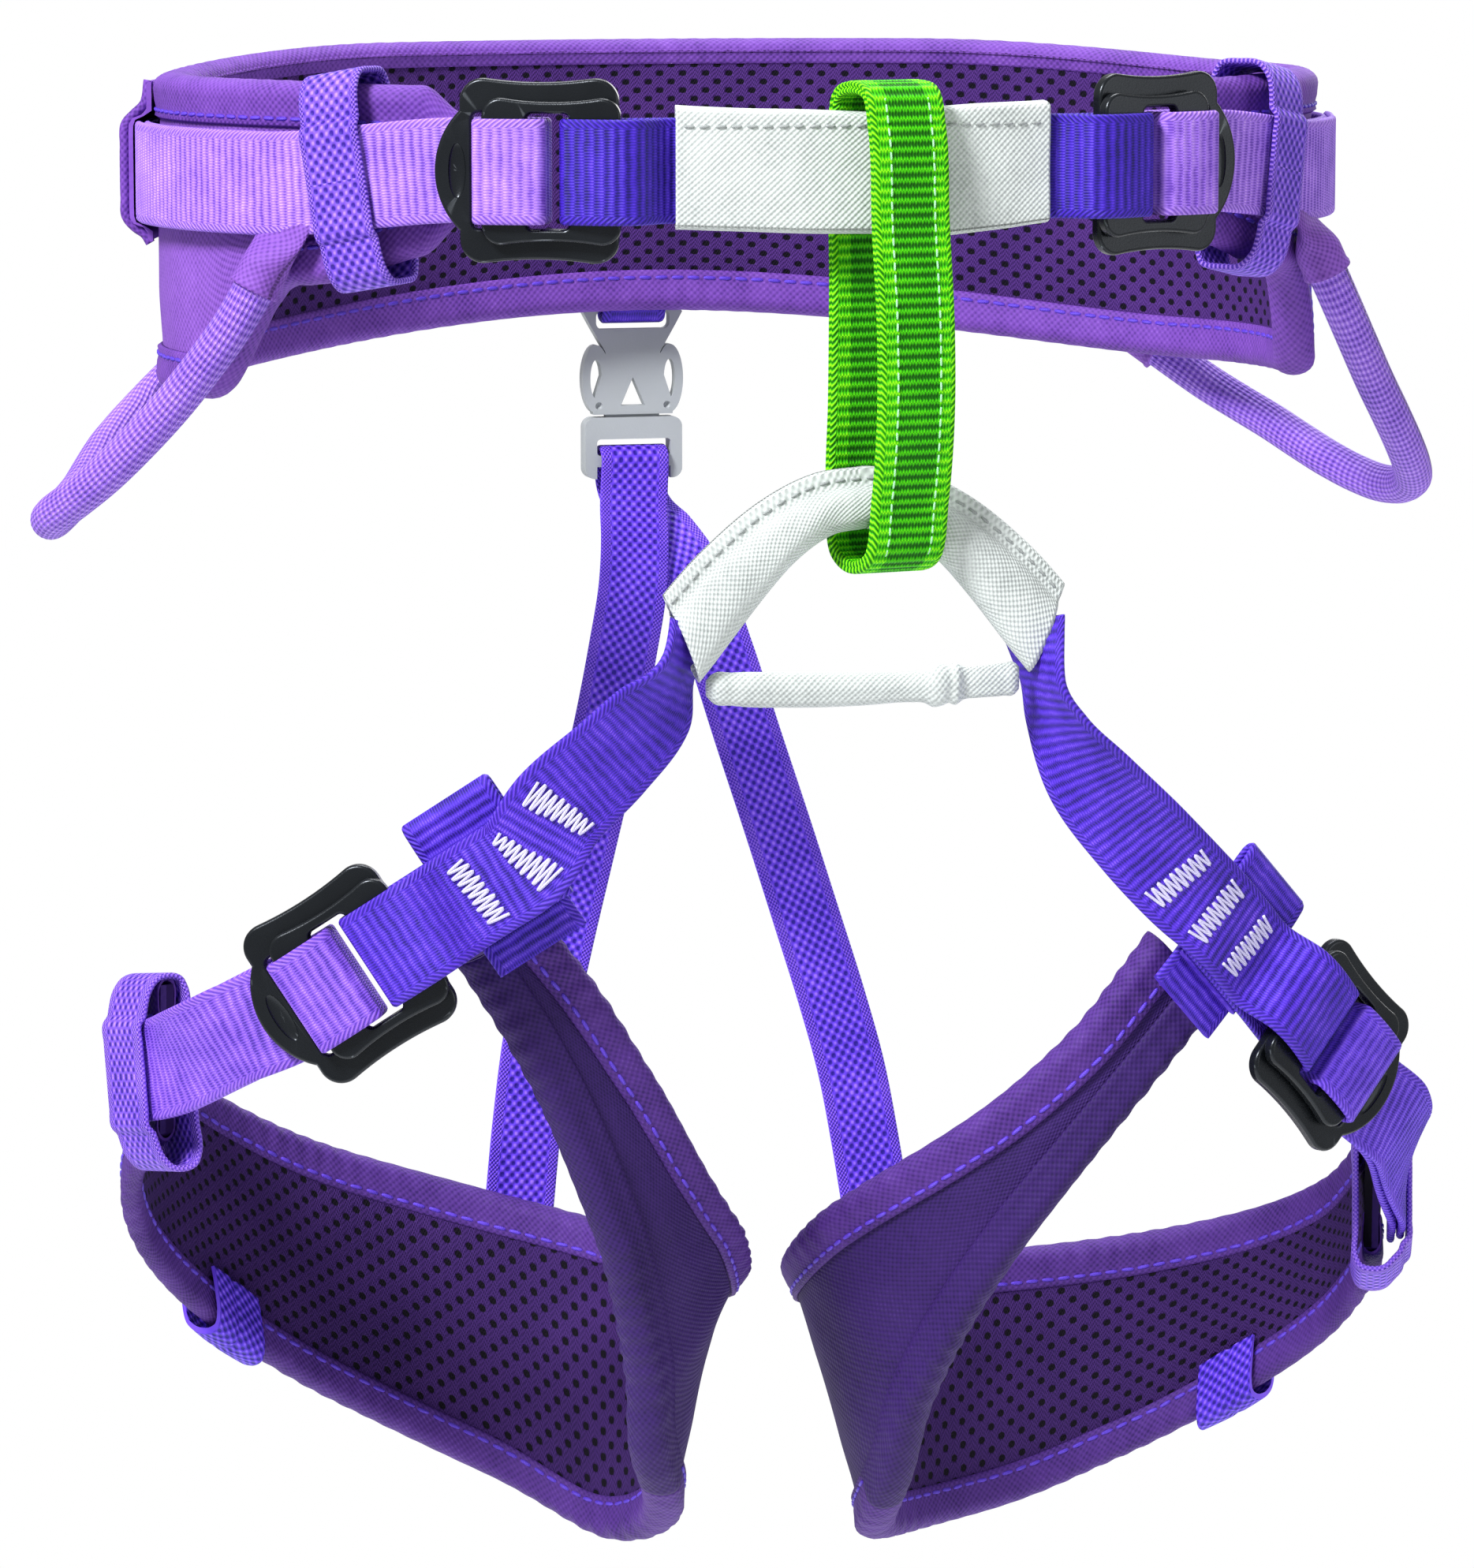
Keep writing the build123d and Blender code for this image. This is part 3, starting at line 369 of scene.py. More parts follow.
class Nodes:
    """Short way to write a material's node arithmetic."""

    def __init__(self, name):
        self.material = bpy.data.materials.new(name)
        self.material.use_nodes = True
        self.tree = self.material.node_tree
        self.shader = self.tree.nodes["Principled BSDF"]

    def new(self, kind, **settings):
        node = self.tree.nodes.new(kind)
        for key, value in settings.items():
            setattr(node, key, value)
        return node

    def put(self, value, socket):
        if isinstance(value, bpy.types.NodeSocket):
            self.tree.links.new(value, socket)
        elif value is not None:
            socket.default_value = value

    def math(self, kind, a, b=None, c=None):
        node = self.new("ShaderNodeMath", operation=kind)
        for value, socket in zip((a, b, c), node.inputs):
            self.put(value, socket)
        return node.outputs[0]

    def times(self, a, b):
        return self.math("MULTIPLY", a, b)

    def plus(self, a, b):
        return self.math("ADD", a, b)

    def scaled(self, x, times, plus):
        return self.math("MULTIPLY_ADD", x, times, plus)

    def half(self, x):
        """A wave from -1 to 1 made to run from 0 to 1."""
        return self.scaled(x, 0.5, 0.5)

    def between(self, a, b, part):
        """a where part is 0, b where it is 1."""
        return self.plus(self.times(a, self.math("SUBTRACT", 1.0, part)), self.times(b, part))

    def tones(self, tone, low, high, dark, base, light):
        """Dark to base over one range of tone, and base to light over a higher one."""
        colour = self.mix(self.steps(tone, *low), rgb(dark), rgb(base))
        return self.mix(self.steps(tone, *high), colour, rgb(light))

    def place(self):
        """Place on the cloth in mm: along and across."""
        uv = self.new("ShaderNodeUVMap", uv_map="mm")
        split = self.new("ShaderNodeSeparateXYZ")
        self.put(uv.outputs[0], split.inputs[0])
        return split.outputs[0], split.outputs[1]

    def wave(self, x, pitch, phase=0.0):
        return self.math("COSINE", self.scaled(x, TAU / pitch, phase))

    def steps(self, x, low, high):
        node = self.new("ShaderNodeMapRange", interpolation_type="SMOOTHSTEP")
        for value, socket in zip((x, low, high), node.inputs):
            self.put(value, socket)
        return node.outputs[0]

    def noise(self, size, detail=2.0, where="Object"):
        """Noise with features of about size mm."""
        source = self.new("ShaderNodeTexCoord")
        node = self.new("ShaderNodeTexNoise")
        self.put(source.outputs[where], node.inputs["Vector"])
        node.inputs["Scale"].default_value = 1000.0 / size
        node.inputs["Detail"].default_value = detail
        return node.outputs[0]

    def mix(self, factor, a, b):
        node = self.new("ShaderNodeMix", data_type="RGBA")
        self.put(factor, node.inputs[0])
        self.put(a, node.inputs[6])
        self.put(b, node.inputs[7])
        return node.outputs[2]

    def bump(self, height, depth, under=None):
        """Bump of height (0 to 1) times depth in mm."""
        node = self.new("ShaderNodeBump")
        node.inputs["Distance"].default_value = depth * 0.001
        node.inputs["Strength"].default_value = 1.0
        self.put(height, node.inputs["Height"])
        self.put(under, node.inputs["Normal"])
        return node.outputs[0]

    def finish(self, colour, normal=None, roughness=0.6, sheen=0.0, tint=(1, 1, 1), **values):
        self.put(colour, self.shader.inputs["Base Color"])
        self.put(normal, self.shader.inputs["Normal"])
        self.put(roughness, self.shader.inputs["Roughness"])
        self.shader.inputs["Sheen Weight"].default_value = sheen
        self.shader.inputs["Sheen Roughness"].default_value = 0.35
        self.shader.inputs["Sheen Tint"].default_value = (*tint, 1)
        for key, value in values.items():
            self.shader.inputs[key.replace("_", " ")].default_value = value
        return self.material


def rgb(c, k=1.0):
    return (c[0] * k, c[1] * k, c[2] * k, 1.0)


def webbing_material(name, dark, base, light, width=WEBBING, pitch=1.9, sheen=0.03):
    """Ribbed flat webbing: cross ribs of fine threads between two woven selvedges."""
    g = Nodes(name)
    u, v = g.place()
    rib = g.scaled(g.wave(g.scaled(g.noise(2.6, 2.0), 0.9, u), pitch), 0.5, 0.5)
    row = g.math("FLOOR", g.math("DIVIDE", u, pitch))
    threads = g.scaled(g.wave(g.scaled(row, 0.27, v), 0.54), 0.5, 0.5)
    side = g.math("ABSOLUTE", v)
    edge = g.steps(side, width / 2 - 1.9, width / 2 - 1.5)
    chevron = g.scaled(g.wave(g.scaled(side, 1.2, u), 1.15), 0.5, 0.5)
    patch = g.noise(7.0, 3.0)
    fine = g.noise(0.6, 2.0)
    tone = g.scaled(rib, 0.46, g.times(threads, 0.30))
    tone = g.plus(tone, g.scaled(patch, 0.7, -0.33))
    tone = g.plus(tone, g.scaled(fine, 0.34, -0.15))
    edge_tone = g.scaled(chevron, 0.6, g.times(patch, 0.3))
    tone = g.between(tone, edge_tone, edge)
    colour = g.tones(tone, (0.0, 0.5), (0.55, 1.05), dark, base, light)
    height = g.scaled(rib, 0.55, g.times(threads, 0.45))
    height = g.between(height, chevron, edge)
    rough = g.scaled(fine, 0.2, 0.48)
    return g.finish(colour, g.bump(height, 0.16), rough, sheen, light, Specular_IOR_Level=0.28)


def elastic_material(name, dark, base, light, width=ELASTIC):
    """Flat elastic: staggered grains between two finely ribbed edges."""
    g = Nodes(name)
    u, v = g.place()
    grain = g.times(g.wave(u, 2.5), g.wave(v, 2.2))
    grain = g.scaled(grain, 0.5, 0.5)
    side = g.math("ABSOLUTE", v)
    edge = g.steps(side, width / 2 - 2.4, width / 2 - 2.0)
    lines = g.scaled(g.times(g.wave(side, 0.8), g.wave(u, 0.95)), 0.5, 0.5)
    patch = g.noise(9.0, 2.0)
    height = g.between(grain, lines, edge)
    tone = g.plus(height, g.scaled(patch, 0.5, -0.25))
    tone = g.plus(tone, g.times(edge, 0.18))
    colour = g.tones(tone, (0.15, 0.55), (0.6, 1.05), dark, base, light)
    return g.finish(colour, g.bump(height, 0.40), 0.55, 0.03, light, Specular_IOR_Level=0.25)


def liner_material(name, hole_shade, base, light):
    """Knitted spacer mesh: staggered small openings in fine ribs, painted near-black as the shade inside them."""
    g = Nodes(name)
    u, v = g.place()
    lattice = g.times(g.wave(u, 5.0), g.wave(v, 3.6))
    open_ = g.steps(lattice, 0.50, 0.64)
    ring = g.steps(lattice, 0.26, 0.52)
    knit = g.times(g.wave(g.scaled(g.wave(u, 2.5), 0.3, v), 0.9), g.wave(u, 0.62))
    knit = g.scaled(knit, 0.5, 0.5)
    patch = g.noise(16.0, 3.0)
    tone = g.scaled(knit, 0.85, g.scaled(patch, 0.6, -0.2))
    colour = g.mix(tone, rgb(base), rgb(light))
    # Painted shade: the openings take the near-black colour, standing in for the shade inside them.
    colour = g.mix(open_, colour, rgb(hole_shade))
    height = g.scaled(knit, 0.34, g.times(ring, -0.35))
    height = g.scaled(open_, -0.6, height)
    return g.finish(colour, g.bump(height, 0.6), 0.75, 0.06, light, Specular_IOR_Level=0.15)


def cloth_material(name, dark, base, light, pitch=0.72, depth=0.12, sheen=0.14, patch_size=22.0):
    """Plain woven cloth with soft creasing."""
    g = Nodes(name)
    u, v = g.place()
    weave = g.times(g.wave(u, pitch * 2), g.wave(v, pitch * 2))
    weave = g.scaled(weave, 0.5, 0.5)
    slub = g.noise(1.1, 2.0)
    patch = g.noise(patch_size, 3.0)
    tone = g.scaled(weave, 0.45, g.times(slub, 0.35))
    tone = g.plus(tone, g.scaled(patch, 0.6, -0.22))
    colour = g.tones(tone, (0.05, 0.6), (0.6, 1.1), dark, base, light)
    under = g.bump(g.noise(5.5, 2.0), 0.35)
    return g.finish(colour, g.bump(weave, depth, under), 0.66, sheen, light, Specular_IOR_Level=0.18)


def thread_material(name, base, light):
    """Twisted sewing thread."""
    g = Nodes(name)
    u, v = g.place()
    twist = g.scaled(g.wave(g.scaled(v, 1.1, u), 0.42), 0.5, 0.5)
    colour = g.mix(g.scaled(g.noise(3.0), 0.5, g.times(twist, 0.5)), rgb(base), rgb(light))
    return g.finish(colour, g.bump(twist, 0.05), 0.5, 0.2, light)


def braid_material(name, dark, base, light, radius):
    """Tubular braid: small plump grains that cross round a cord."""
    g = Nodes(name)
    u, v = g.place()
    pitch = TAU * radius / 13
    one = g.wave(g.scaled(u, 0.60, v), pitch)
    two = g.wave(g.scaled(u, 0.60, g.times(v, -1.0)), pitch)
    grain = g.scaled(g.times(one, two), 0.5, 0.5)
    fibre = g.scaled(g.wave(g.scaled(v, 0.6, u), 0.42), 0.5, 0.5)
    height = g.scaled(fibre, 0.14, grain)
    tone = g.plus(g.times(height, 0.85), g.scaled(g.noise(8.0), 0.5, -0.22))
    colour = g.tones(tone, (0.02, 0.5), (0.5, 1.05), dark, base, light)
    return g.finish(colour, g.bump(height, 0.5), 0.5, 0.1, light, Specular_IOR_Level=0.3)


def belay_material(name, dark, base, light):
    """Green webbing: cross ribs, a deeper middle band and bright borders."""
    g = Nodes(name)
    u, v = g.place()
    side = g.math("ABSOLUTE", v)
    row = g.math("FLOOR", g.math("DIVIDE", u, 1.9))
    rib = g.scaled(g.wave(g.scaled(g.wave(v, 1.3), 0.10, u), 1.9), 0.5, 0.5)
    threads = g.scaled(g.wave(g.scaled(row, 0.33, v), 0.66), 0.5, 0.5)
    border = g.steps(side, 4.0, 4.5)
    edge = g.steps(side, 6.7, 7.1)
    chevron = g.scaled(g.wave(g.scaled(side, 1.1, u), 1.25), 0.5, 0.5)
    height = g.scaled(rib, 0.62, g.times(threads, 0.38))
    height = g.between(height, chevron, edge)
    tone = g.plus(height, g.scaled(g.noise(6.0, 3.0), 0.5, -0.30))
    tone = g.plus(tone, g.scaled(border, 0.34, -0.12))
    colour = g.tones(tone, (0.1, 0.6), (0.65, 1.2), dark, base, light)
    return g.finish(colour, g.bump(height, 0.26), 0.6, 0.0, light, Specular_IOR_Level=0.12)


def metal_material(name):
    """Black anodised aluminium, blasted, with a painted highlight: lighter grey on its sharp edges."""
    g = Nodes(name)
    grain = g.noise(0.35, 3.0)
    cloud = g.noise(14.0, 3.0)
    geometry = g.new("ShaderNodeNewGeometry")
    # Painted highlight: the sharpest edges (high pointiness) are picked out for a lighter grey.
    edge_highlight = g.steps(geometry.outputs["Pointiness"], 0.53, 0.62)
    colour = g.mix(cloud, (0.006, 0.008, 0.011, 1), (0.018, 0.022, 0.027, 1))
    colour = g.mix(g.times(edge_highlight, 0.5), colour, (0.16, 0.18, 0.20, 1))
    rough = g.scaled(grain, 0.12, g.scaled(cloud, 0.08, 0.17))
    return g.finish(colour, g.bump(grain, 0.02), rough, Metallic=0.65, Specular_IOR_Level=0.6)


def plastic_material(name):
    """Moulded grey acetal with a fine spark-eroded grain."""
    g = Nodes(name)
    grain = g.noise(0.5, 3.0)
    cloud = g.noise(18.0, 2.0)
    colour = g.mix(cloud, (0.30, 0.325, 0.34, 1), (0.39, 0.415, 0.43, 1))
    rough = g.scaled(grain, 0.16, 0.36)
    return g.finish(colour, g.bump(grain, 0.03), rough, Subsurface_Weight=0.0, Specular_IOR_Level=0.5)


WEB_DARK, WEB_BASE, WEB_LIGHT = (0.012, 0.002, 0.16), (0.062, 0.018, 0.50), (0.21, 0.09, 0.80)
web_waist = webbing_material("webbing_lilac", (0.12, 0.04, 0.42), (0.33, 0.16, 0.76), (0.60, 0.36, 0.92))
web_deep = webbing_material("webbing_violet", WEB_DARK, WEB_BASE, WEB_LIGHT)
# Deeper violet than the other webbings: partly the tie-in webbing's own colour, partly painted shade.
web_tie = webbing_material("webbing_tie_in", (0.006, 0.001, 0.11), (0.034, 0.008, 0.38), (0.12, 0.042, 0.72))
web_leg = webbing_material("webbing_leg", (0.06, 0.018, 0.32), (0.21, 0.085, 0.68), (0.46, 0.25, 0.90))
# Darker copy of the leg webbing for the right adjusting strap: painted shade. Both leg straps are one webbing.
web_leg_shaded = webbing_material("webbing_leg_painted_shade",
                                (0.032, 0.009, 0.26), (0.125, 0.048, 0.66), (0.33, 0.17, 0.90))
web_small = webbing_material("webbing_narrow", WEB_DARK, WEB_BASE, WEB_LIGHT, width=NARROW)
elastic = elastic_material("elastic_violet", (0.018, 0.004, 0.26), (0.115, 0.040, 0.72), (0.29, 0.14, 0.92))
keeper_elastic = elastic_material("elastic_keeper",
                                  (0.030, 0.008, 0.26), (0.165, 0.070, 0.64), (0.36, 0.19, 0.84))
tab_elastic = elastic_material("elastic_tab",
                               (0.014, 0.003, 0.22), (0.080, 0.026, 0.60), (0.22, 0.10, 0.86), width=90.0)
# The leg pads' liner and the waist pad's liner are one spacer mesh: the leg copy is darker (painted shade) and the
# waist copy lighter (painted light).
liner = liner_material("spacer_mesh", (0.002, 0.001, 0.005), (0.013, 0.004, 0.050), (0.058, 0.020, 0.150))
liner_waist = liner_material("spacer_mesh_waist",
                             (0.002, 0.001, 0.006), (0.022, 0.006, 0.075), (0.085, 0.028, 0.205))
# The leg pads' shell cloth is darker than the waist pad's: painted shade on the leg pads' faces.
shell_leg_shaded = cloth_material("pad_cloth_painted_shade",
                           (0.009, 0.003, 0.040), (0.030, 0.010, 0.105), (0.075, 0.032, 0.205))
shell_waist = cloth_material("pad_cloth", (0.075, 0.024, 0.21), (0.21, 0.082, 0.45), (0.37, 0.18, 0.68))
tape = cloth_material("binding_cloth",
                      (0.055, 0.018, 0.17), (0.150, 0.052, 0.36), (0.29, 0.13, 0.56), patch_size=9.0)
# Darker copy of the binding cloth for the leg pads: painted shade. It is still lighter than the leg pads' shell,
# which is the same fabric: painted light on the rolled edge.
tape_leg_shaded = cloth_material("binding_cloth_painted_shade",
                          (0.024, 0.008, 0.088), (0.072, 0.025, 0.205), (0.155, 0.065, 0.37), patch_size=9.0)
textile = cloth_material("sleeve_cloth", (0.33, 0.36, 0.355), (0.58, 0.625, 0.615), (0.78, 0.82, 0.81),
                         pitch=0.62, depth=0.22, sheen=0.1, patch_size=14.0)
braid = braid_material("gear_braid", (0.07, 0.022, 0.34), (0.27, 0.12, 0.74), (0.52, 0.31, 0.92), 4.0)
green = belay_material("belay_green", (0.006, 0.10, 0.001), (0.045, 0.48, 0.002), (0.28, 0.92, 0.008))
thread_violet = thread_material("thread_violet", (0.035, 0.008, 0.36), (0.14, 0.055, 0.70))
thread_lilac = thread_material("thread_lilac", (0.40, 0.36, 0.68), (0.74, 0.72, 0.92))
thread_grey = thread_material("thread_grey", (0.22, 0.24, 0.24), (0.42, 0.45, 0.45))
thread_dark = thread_material("thread_dark", (0.020, 0.030, 0.016), (0.07, 0.085, 0.055))
thread_teal = thread_material("thread_teal", (0.22, 0.62, 0.30), (0.48, 0.86, 0.50))
metal = metal_material("anodised_black")
plastic = plastic_material("acetal_grey")


# ---- pads ---------------------------------------------------------------------------------------


PAD_COLUMNS = 33


def pad_section():
    """Places across a pad's face, closer together near the tape."""
    s = np.linspace(-1, 1, PAD_COLUMNS)
    return np.sign(s) * (1 - (1 - np.abs(s)) ** 1.25)


def pad_surface(c, up, out, a, b):
    """Points at a across and b outward of every frame; a and b are arrays of frames by columns."""
    return c[:, None] + up[:, None] * a[:, :, None] + out[:, None] * b[:, :, None]


def pad(name, body, frames, cloth, tape_cloth, mesh, pucker, plain=0.0, narrow=False):
    """Shell, liner, binding tape and stitching of one padded band.

    The first part of the lower edge, the share plain, is folded in the pad's own cloth. narrow makes the
    upper tape's inner side narrow.
    """
    c, up, out, half = (np.array(q) for q in zip(*frames))
    n_out = unit(out)
    u = lengths(c)
    cols = pad_section()
    h = half[:, None]
    a = cols[None] * (h - 0.6)
    inset = h - np.abs(a)
    crease = (0.16 * np.sin(u / 6.3 + 0.7) * np.sin(u / 17.0) + 0.1 * np.sin(u / 3.1))[:, None]
    top = 6.15 + 0.55 * blend(inset, 8.0, 20.0)
    top = top + crease * blend(inset, 7, 12) * (1 - 0.5 * blend(inset, 14, 26))
    mid = np.full_like(top, 3.4)
    low = 0.15 - 0.35 * blend(inset, 8.0, 18.0) + 0.5 * crease * blend(inset, 8, 14)

    piece = Piece(name + "_shell")
    face, middle, back = (pad_surface(c, up, out, a, b) for b in (top, mid, low))
    rows = np.concatenate([face, middle[:, ::-1]], axis=1)
    across = np.concatenate([cols, cols[::-1]]) * half.mean()
    piece.grid(rows, u, across, cloth)
    shell = piece.build(body, "shell_fabric", name + "_shell", name + "_foam")

    piece = Piece(name + "_liner")
    rows = np.concatenate([pad_surface(c, up, out, a, mid - 0.1)[:, ::-1], back], axis=1)
    piece.grid(rows, u, np.concatenate([cols[::-1], cols]) * half.mean(), mesh)
    piece.build(body, "mesh_liner", name + "_liner")

    tape_piece = Piece(name + "_binding")
    seam = Piece(name + "_stitching")
    arc = np.radians(np.linspace(90, -90, 11))
    level = np.ones_like(u)
    for sign in (1, -1):
        reach = np.minimum(BINDING_FACE, half - 1.0)
        wave = pucker * (np.sin(u * 1.25 + 1.1 * np.sin(u / 7.0)) * (0.6 + 0.4 * np.sin(u / 11.0)))
        e_a = [-reach, -reach + 0.5, -reach + 1.8, -4.6 * level, -2.6 * level]
        e_b = [6.55, 7.25, 6.95, 7.35, 7.5]
        centre_b, r_b, r_a = 3.3, 4.25, 3.0
        outer = [(x, y * level) for x, y in zip(e_a, e_b)]
        outer += [(-2.1 * level + r_a * math.cos(t), (centre_b + r_b * math.sin(t)) * level) for t in arc]
        slim = narrow and sign > 0
        inside = 4.4 * level if slim else reach
        near, far = (1.5, 2.4) if slim else (2.6, 4.6)
        lows = [(-near * level, -0.95), (-far * level, -0.8), (-inside + 1.6, -0.45),
                (-inside + 0.5, -0.55), (-inside, 0.0)]
        outer += [(x, y * level) for x, y in lows]
        oa = np.stack([q[0] for q in outer], axis=1)
        ob = np.stack([q[1] for q in outer], axis=1)
        fold = blend(oa, -6.0, -3.0)
        oa = oa + 0.5 * wave[:, None] * blend(oa, -3.0, 0.6)
        ob = ob + wave[:, None] * fold * np.sign(ob - centre_b)
        ia, ib = oa - 0.55 * blend(oa, -3.5, 0.5), centre_b + (ob - centre_b) * 0.86
        aa = sign * (h + np.concatenate([oa, ia[:, ::-1]], axis=1))
        bb = np.concatenate([ob, ib[:, ::-1]], axis=1)
        step = np.concatenate([[0], np.cumsum(np.hypot(np.diff(aa.mean(0)), np.diff(bb.mean(0))))])
        bare = int(len(u) * plain) if sign < 0 else 0
        tube_rows = pad_surface(c, up, out, aa, bb)
        if bare:
            tape_piece.grid(tube_rows[: bare + 1], u[: bare + 1], step, cloth)
        tape_piece.grid(tube_rows[bare:], u[bare:], step, tape_cloth)
        for b_at, way in ((6.98, 1), (-0.38, -1)):
            if slim and way < 0:
                continue
            at = sign * (half - 6.35)
            line = c + up * at[:, None] + out * b_at
            start = bare if way > 0 else 0
            stitch_row(seam, line[start:], (n_out * way)[start:], thread_violet)
    tape_piece.build(body, "binding_fabric", name + "_binding")
    seam.build(body, "binding_fabric")


TIP, PAD_TOP = 39.0, 18.7


def waist_edges(angle):
    side = angle if angle <= 180 else 360 - angle
    tip = 0.62 + 0.38 * blend(side, TIP, TIP + 5)
    top = (15.0 + (PAD_TOP - 15.0) * blend(side, TIP, 62) + BELT_DIP * blend(side, 100, 150)) * tip
    drop = 14.6 * tip + 4.4 * blend(side, TIP, 58) + 23.6 * blend(side, 60, 78) - 8.6 * blend(side, 112, 180)
    return -drop, top


def waist_pad():
    frames = []
    count = 560
    for i in range(count + 1):
        angle = TIP + (360 - 2 * TIP) * i / count
        low, high = waist_edges(angle)
        thin = THIN_END + (1 - THIN_END) * blend(min(i, count - i) * 48 / count, 0, 3)
        middle, out = waist(angle, 0, (low + high) / 2), waist_normal(angle) * thin
        frames.append((middle, vec(0, 0, 1), out, (high - low) / 2))
    pad("waist_pad", "waist", frames, shell_waist, tape, liner_waist, 0.10, narrow=True)


LEG_PAD = {
    LEFT: [
        (-11, -149.5, 5, -156.5), (-19, -161.0, -2, -169.0), (-30, -178.3, -10, -186.0),
        (-48, -204.0, -21, -214.0), (-72, -221.5, -32, -240.0), (-95, -227.0, -44, -262.0),
        (-114, -227.0, -78, -278.0), (-137, -224.0, -120, -285.0), (-163, -218.5, -160, -275.5),
        (-192, -208.5, -191, -261.5), (-219, -194.0, -217, -244.0), (-246, -177.5, -243, -224.0),
        (-269, -165.0, -267, -205.0), (-290, -160.0, -289, -191.0),
    ],
    RIGHT: [
        (-5, -157.0, 7, -170.5), (-17, -173.5, -7, -189.0), (-35, -190.5, -21, -209.0),
        (-59, -206.0, -35, -230.0), (-84, -220.0, -50, -252.0), (-103, -227.5, -66, -272.0),
        (-124, -233.0, -92, -284.0), (-147, -237.0, -132, -290.5), (-176, -238.5, -175, -291.0),
        (-204, -236.5, -204, -283.0), (-230, -230.0, -230, -269.0), (-254, -219.5, -254, -253.0),
        (-272, -208.0, -272, -239.5), (-293, -199.5, -293, -227.0),
    ],
}
PAD_STEPS = 4  # the CAD model's rows per station, which its thinning is counted in
LEG_ROWS = 30  # rows per station here
PAD_LEAD = 5.0  # the leg pads run on this far under the webbing
PLAIN_EDGE = 0.42  # the share of the lower edge that the outer cloth itself folds over


def leg_frames(side, steps):
    tops = [vec(a, z) for a, z, _, _ in LEG_PAD[side]]
    lows = [vec(a, z) for _, _, a, z in LEG_PAD[side]]
    last = PAD_STEPS * (len(tops) - 1)
    frames = []
    for i, (high, low) in enumerate(zip(spline_points(tops, steps), spline_points(lows, steps))):
        top, foot = thigh(side, high[0], high[1], 0), thigh(side, low[0], low[1], 0)
        up = unit(top - foot)
        out = thigh_normal(side, (high[0] + low[0]) / 2)
        place = last - i * PAD_STEPS / steps
        thin = THIN_END + (1 - THIN_END) * blend(place, 7, 16)
        out = unit(out - up * np.dot(out, up)) * thin
        frames.append(((top + foot) * 0.5, up, out, np.linalg.norm(top - foot) / 2))
    return frames


def lead_in(frames, length):
    """The frames with a straight start added, which runs on under the webbing."""
    c, up, out, half = frames[0]
    back = unit(c - frames[3][0])
    return [(c + back * length * (1 - i / 10), up, out, half) for i in range(10)] + frames


def leg_pads():
    for side, name in SIDES:
        frames = lead_in(leg_frames(side, LEG_ROWS), PAD_LEAD)
        # The leg pads take the darker cloth copies and the darker liner copy: painted shade.
        pad(f"leg_pad_{name}", "leg_loops", frames, shell_leg_shaded, tape_leg_shaded, liner, 0.24, plain=PLAIN_EDGE)


# ---- buckles' own frames ------------------------------------------------------------------------

BASE_WINDOW_HIGH = 7.5
SLIDER_X = (-9.3, 17.3)
SLIDER_WINDOW_LOW = -0.7
LOOP_HIGH, LOOP_LOW = 6.35, -1.05
BUCKLE_OUT = COVER_OUT
WAIST_BUCKLE_ANGLE = 30.8
LEG_BUCKLE = {LEFT: (25.5, -153.5), RIGHT: (28.0, -177.0)}
LEG_TACK = {LEFT: (1.0, -133.8), RIGHT: (7.5, -152.4)}
LEG_KEEPER = {LEFT: (74.0, -178.0), RIGHT: (73.5, -217.0)}
LEG_END_SLOPE = {LEFT: 0.15, RIGHT: 0.55}
LEG_LOW_OUT = EDGE_OUT + 2 * STACK + GAP + WEB_T / 2
LEG_BUCKLE_OUT = LEG_LOW_OUT - LOOP_LOW
LEG_STRAP_OUT = THIN_END * EDGE_OUT + 2 * GAP + WEB_T / 2
FRONT_STRAP = {
    LEFT: [
        ((-37.2, -91.5, -94.5), (-0.40, -0.78, 0.48)), ((-41.6, -91.2, -102.3), (-0.65, -0.42, 0.62)),
        ((-50.2, -90.8, -111.4), (-0.64, -0.20, 0.74)), ((-60.2, -90.2, -120.5), (-0.60, 0, 0.80)),
    ],
    RIGHT: [
        ((35.6, -91.5, -98.6), (0.10, -0.97, 0.10)), ((38.6, -91.3, -106.5), (0.25, -0.93, 0.20)),
        ((46.1, -91.0, -118.9), (0.55, -0.62, 0.50)), ((57.0, -90.0, -131.1), (0.74, -0.30, 0.60)),
        ((66.4, -88.6, -140.6), (0.74, 0, 0.67)),
    ],
}


class Plane:
    def __init__(self, origin, x_dir, z_dir):
        self.o, self.x, self.z = origin, unit(x_dir), unit(z_dir)
        self.y = np.cross(self.z, self.x)

    def at(self, pair, y=0.0):
        return self.o + self.x * pair[0] + self.y * y + self.z * pair[1]


def waist_buckle_plane(side):
    n = waist_normal(side * WAIST_BUCKLE_ANGLE)
    return Plane(waist(side * WAIST_BUCKLE_ANGLE, BUCKLE_OUT), np.cross(vec(0, 0, 1), n) * -side, n)


def leg_buckle_plane(side):
    angle, z = LEG_BUCKLE[side]
    n = thigh_normal(side, angle)
    origin = thigh(side, angle, z, LEG_BUCKLE_OUT)
    tack = LEG_TACK[side]
    towards = thigh(side, tack[0], tack[1], LEG_BUCKLE_OUT) - origin
    return Plane(origin, towards - n * np.dot(towards, n), n)


def arc_points(centre, radius, start, stop, count=5):
    angles = np.radians(np.linspace(start, stop, count))
    return [(centre[0] + radius * math.cos(a), centre[1] + radius * math.sin(a)) for a in angles]


TURN_RADIUS = 1.4  # of the webbing where it turns round a bar


